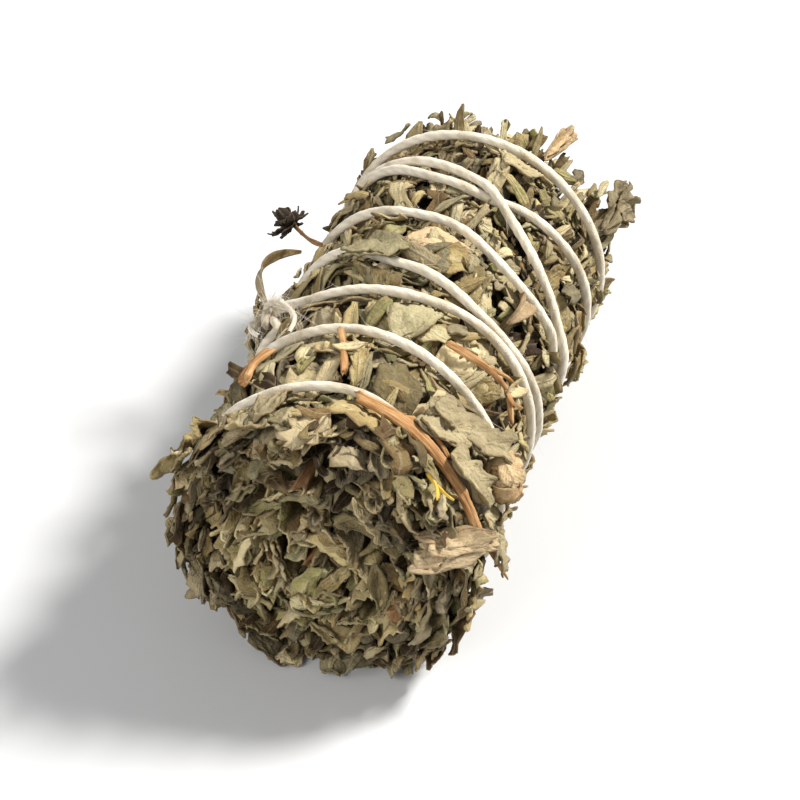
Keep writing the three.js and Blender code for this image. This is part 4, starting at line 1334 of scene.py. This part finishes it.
def turned_frames(rng, count):
    """Random sets of three axes, (count, 3, 3)."""
    q, _ = np.linalg.qr(rng.normal(0, 1, (count, 3, 3)))
    return q


def make_ball(material):
    """The rolled-up leaf: crumpled leaves wrapped one over another round a small ball."""
    rng = np.random.default_rng(BALL_SEED)
    count = BALL_LEAVES
    kind = LeafKind((6, 9), (3.6, 6), lobes=(0.8, 2), lobe_depth=(0.1, 0.4), blunt=0.6, curl=(-0.1, 0.1),
                    bend=(-0.02, 0.02), fold=(-0.1, 0.1), crumple=0.35, twist=0.3)
    x, side, up = leaf_sheets(rng, count, 16, 10, kind)
    size = min(BALL_SIZE)
    r = each(size - 0.7 + np.linspace(-0.9, 0.3, count)) + 0.8 * up
    a, b = x / size, side / size
    ball = np.stack([np.cos(b) * np.cos(a), np.cos(b) * np.sin(a), np.sin(b)], -1) * r[..., None]
    ball = np.einsum("nrck,nkl->nrcl", ball, turned_frames(rng, count))
    points = on_bundle(*BALL_AT) + ball * (1, BALL_SIZE[1] / BALL_SIZE[0], 1)
    tint = tints(rng, rng.normal(0.56, 0.08, count), rng.normal(0.6, 0.1, count))
    leaf_piece("leaf_ball", points, 0.3, tint, material, "tan_leaf")


SHEAF_FROM, SHEAF_TO = (64, -42.3, 17.6), (73, -36.8, 26.4)
SHEAF_RADIUS = 1.6


def make_sheaf(material):
    """The long rolled leaf at the rim of the cut end: folded strips that lie together, side by side."""
    rng = np.random.default_rng(SHEAF_SEED)
    count = SHEAF_STRIPS
    start, end = on_bundle(*SHEAF_FROM), on_bundle(*SHEAF_TO)
    length = np.linalg.norm(end - start)
    ahead = (end - start) / length
    kind = LeafKind((0.8 * length, 1.15 * length), (2.6, 4.6), lobes=(0.8, 2.2), lobe_depth=(0.15, 0.5),
                    blunt=0.4, curl=(-0.3, 0.5), bend=(-0.03, 0.03), fold=(-0.3, 0.6), crumple=0.45,
                    twist=1.2)
    x, side, up = leaf_sheets(rng, count, *LOOSE_GRID, kind)
    x = x + each(rng.normal(0, 0.08 * length, count))
    side = side + SHEAF_RADIUS * each(np.linspace(-0.7, 0.7, count)) * (1.3 - x / length)
    up = up + each(rng.uniform(-0.6, 0.6, count))
    inward = np.array([0.0, 1.0, -1.0])
    inward = unit(inward - ahead * (inward @ ahead))
    points = set_out((start + end) / 2, (x, side, up), (ahead, np.cross(inward, ahead), inward))
    tint = tints(rng, rng.uniform(0.3, 0.65, count), rng.uniform(0.2, 0.5, count))
    leaf_piece("leaf_near_rolled", points, 0.26, tint, material, "tan_leaf")


def make_bud(material):
    """The dark flower head: short pointed bracts that spread from the top of its stalk."""
    rng = np.random.default_rng(BUD_SEED)
    count = BUD_BRACTS
    kind = LeafKind((2.2, 3.6), (1.5, 2.6), lobes=(0.8, 1.8), lobe_depth=(0, 0.5), blunt=0.4,
                    curl=(0.1, 0.8), bend=(0.05, 0.4), crumple=0.25, twist=0.8)
    x, side, up = leaf_sheets(rng, count, 8, 6, kind)
    axis = unit(outward_at(BUD_AT[0] + BUD_LEAN) + (0, 0.35, 0))
    first = unit(np.cross(axis, (0, 1, 0)))
    second = np.cross(axis, first)
    away = rng.uniform(0.1, 1.9, count)
    round_it = rng.uniform(0, 2 * np.pi, count)
    square = np.cos(round_it)[:, None] * first + np.sin(round_it)[:, None] * second
    ahead = np.cos(away)[:, None] * axis + np.sin(away)[:, None] * square
    across = np.cross(axis, square)
    sheets = (x - each(x.min((1, 2))), side, up)
    axes = (each(ahead), each(across), each(np.cross(ahead, across)))
    points = set_out(on_bundle(*BUD_AT) - axis * 1.3, sheets, axes)
    tint = tints(rng, np.full(count, 0.04), rng.uniform(0.1, 0.4, count))
    leaf_piece("dark_bud", points, 0.22, tint, material, "dark_bud")


# ---------- Stage ----------

CAMERA_AZIMUTH, CAMERA_ELEVATION = 18.0, 39.4
CAMERA_DISTANCE = 381.0          # from the point on the bundle's axis that the camera goes round
ORBIT_Y = 6.6                    # of that point
AIM = (0.0, -3.0, 19.0)
LENS = 112.0
FLOOR_HALF = 3000.0
FLOOR_COLOUR = (0.545, 0.55, 0.555, 1)
# Each lamp: its place, its size, its power and its colour. Places and sizes are in metres.
LAMPS = {
    "key": ((0.55, 0.42, 0.78), 0.24, 21.5, (1.0, 0.98, 0.95)),
    "fill": ((-0.35, -0.75, 0.5), 0.7, 7.5, (1.0, 0.99, 0.97)),
}
LIT_POINT = (0, 0, 0.02)
SKY_COLOUR, SKY_STRENGTH = (0.98, 0.99, 1.0, 1), 0.34


def make_camera():
    """The camera: in front of the cut end, a little to its right, and above it."""
    az, el = math.radians(CAMERA_AZIMUTH), math.radians(CAMERA_ELEVATION)
    back = np.array([math.sin(az) * math.cos(el), -math.cos(az) * math.cos(el), math.sin(el)])
    place = np.array([0, ORBIT_Y, AXIS_HEIGHT]) + back * CAMERA_DISTANCE
    data = bpy.data.cameras.new("camera")
    data.lens = LENS
    camera = bpy.data.objects.new("camera", data)
    camera.location = Vector(place) * MM
    look = Vector(AIM) * MM - camera.location
    camera.rotation_euler = look.to_track_quat("-Z", "Y").to_euler()
    bpy.context.collection.objects.link(camera)
    bpy.context.scene.camera = camera


def make_floor():
    corners = np.array([(-1, -1, 0), (1, -1, 0), (1, 1, 0), (-1, 1, 0)]) * FLOOR_HALF
    floor = make_mesh("floor", corners, np.array([(0, 1, 2, 3)]))
    white = Shader("white_table").finish(Base_Color=FLOOR_COLOUR, Roughness=0.7, Specular_IOR_Level=0.2)
    floor.data.materials.append(white)


def area_light(name, place, size, power, colour):
    data = bpy.data.lights.new(name, "AREA")
    data.shape, data.size, data.energy, data.color = "DISK", size, power, colour
    lamp = bpy.data.objects.new(name, data)
    lamp.location = place
    lamp.rotation_euler = (Vector(LIT_POINT) - Vector(place)).to_track_quat("-Z", "Y").to_euler()
    bpy.context.collection.objects.link(lamp)


def make_lights():
    for name, lamp in LAMPS.items():
        area_light(name, *lamp)
    world = bpy.data.worlds.new("studio")
    world.use_nodes = True
    sky = world.node_tree.nodes["Background"].inputs
    sky["Color"].default_value = SKY_COLOUR
    sky["Strength"].default_value = SKY_STRENGTH
    bpy.context.scene.world = world


# ---------- Assembly ----------

def dress(piece, material, slot, *nodes):
    """The piece gets its material and rides on the one body, and its CAD nodes are hidden; the slot is not
    used.
    """
    piece.data.materials.append(material)
    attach(piece, "root")
    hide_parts(*nodes)


make_camera()
make_floor()
make_lights()
bpy.context.scene.view_settings.view_transform = "Standard"

LEAF = leaf_material("dried_leaf")
TAN_LEAF = leaf_material("tan_leaf", TAN_TONES, TAN_FELT)
BUD = leaf_material("dark_bud", BUD_TONES, BUD_FELT)
TWINE = twine_material()
STEM = stem_material("woody_stem", STEM_SHADE_TONES)
TWIG = stem_material("orange_twig", BARK_TONES)
BARKS = {"yellow_shoot": stem_material("yellow_shoot", SHOOT_TONES), "bud_stalk": STEM}

for index in range(OUTER_SPRIGS):
    rng = np.random.default_rng(SPRIG_SEED + index)
    heap = LeafHeap()
    sector_leaves(heap, rng, index)
    angles = ((index - 0.5) * SECTOR, (index + 0.5) * SECTOR)
    end_leaves(heap, rng, NEAR, angles, (CENTRE_EDGE, 21.0), 2.0)
    end_leaves(heap, rng, FAR, angles, (CENTRE_EDGE, 20.6), 2.4)
    end_scraps(heap, rng, NEAR, angles, 20.0, 3.3)
    end_scraps(heap, rng, FAR, angles, 19.0, 4.5)
    dress(heap.mesh(f"sprig_leaves_{index + 1}"), LEAF, "dried_leaf", f"sprig_{index + 1}")

rng = np.random.default_rng(CENTRE_SEED)
heap = LeafHeap()
centre_radii = (0, CENTRE_EDGE + CENTRE_OVERLAP)
end_leaves(heap, rng, NEAR, (0, FULL_TURN), centre_radii, 2.0)
end_leaves(heap, rng, FAR, (0, FULL_TURN), centre_radii, 2.2)
dress(heap.mesh("sprig_leaves_centre"), LEAF, "dried_leaf", "sprig_centre")

make_hearts(heart_material())
make_twine(TWINE)
for index in range(OUTER_SPRIGS + 1):
    make_stem(index, STEM)
for name, route in TWIGS.items():
    shoots = [(thin, points) for twig, thin, points in SIDE_SHOOTS if twig == name]
    slot = "tan_leaf" if name == "yellow_shoot" else "woody_stem"
    make_twig(name, [route, *shoots], BARKS.get(name, TWIG), slot)
for seed, leaf in enumerate(LOOSE):
    make_loose(leaf, seed, {"dried_leaf": LEAF, "tan_leaf": TAN_LEAF})
make_ball(TAN_LEAF)
make_sheaf(TAN_LEAF)
make_bud(BUD)
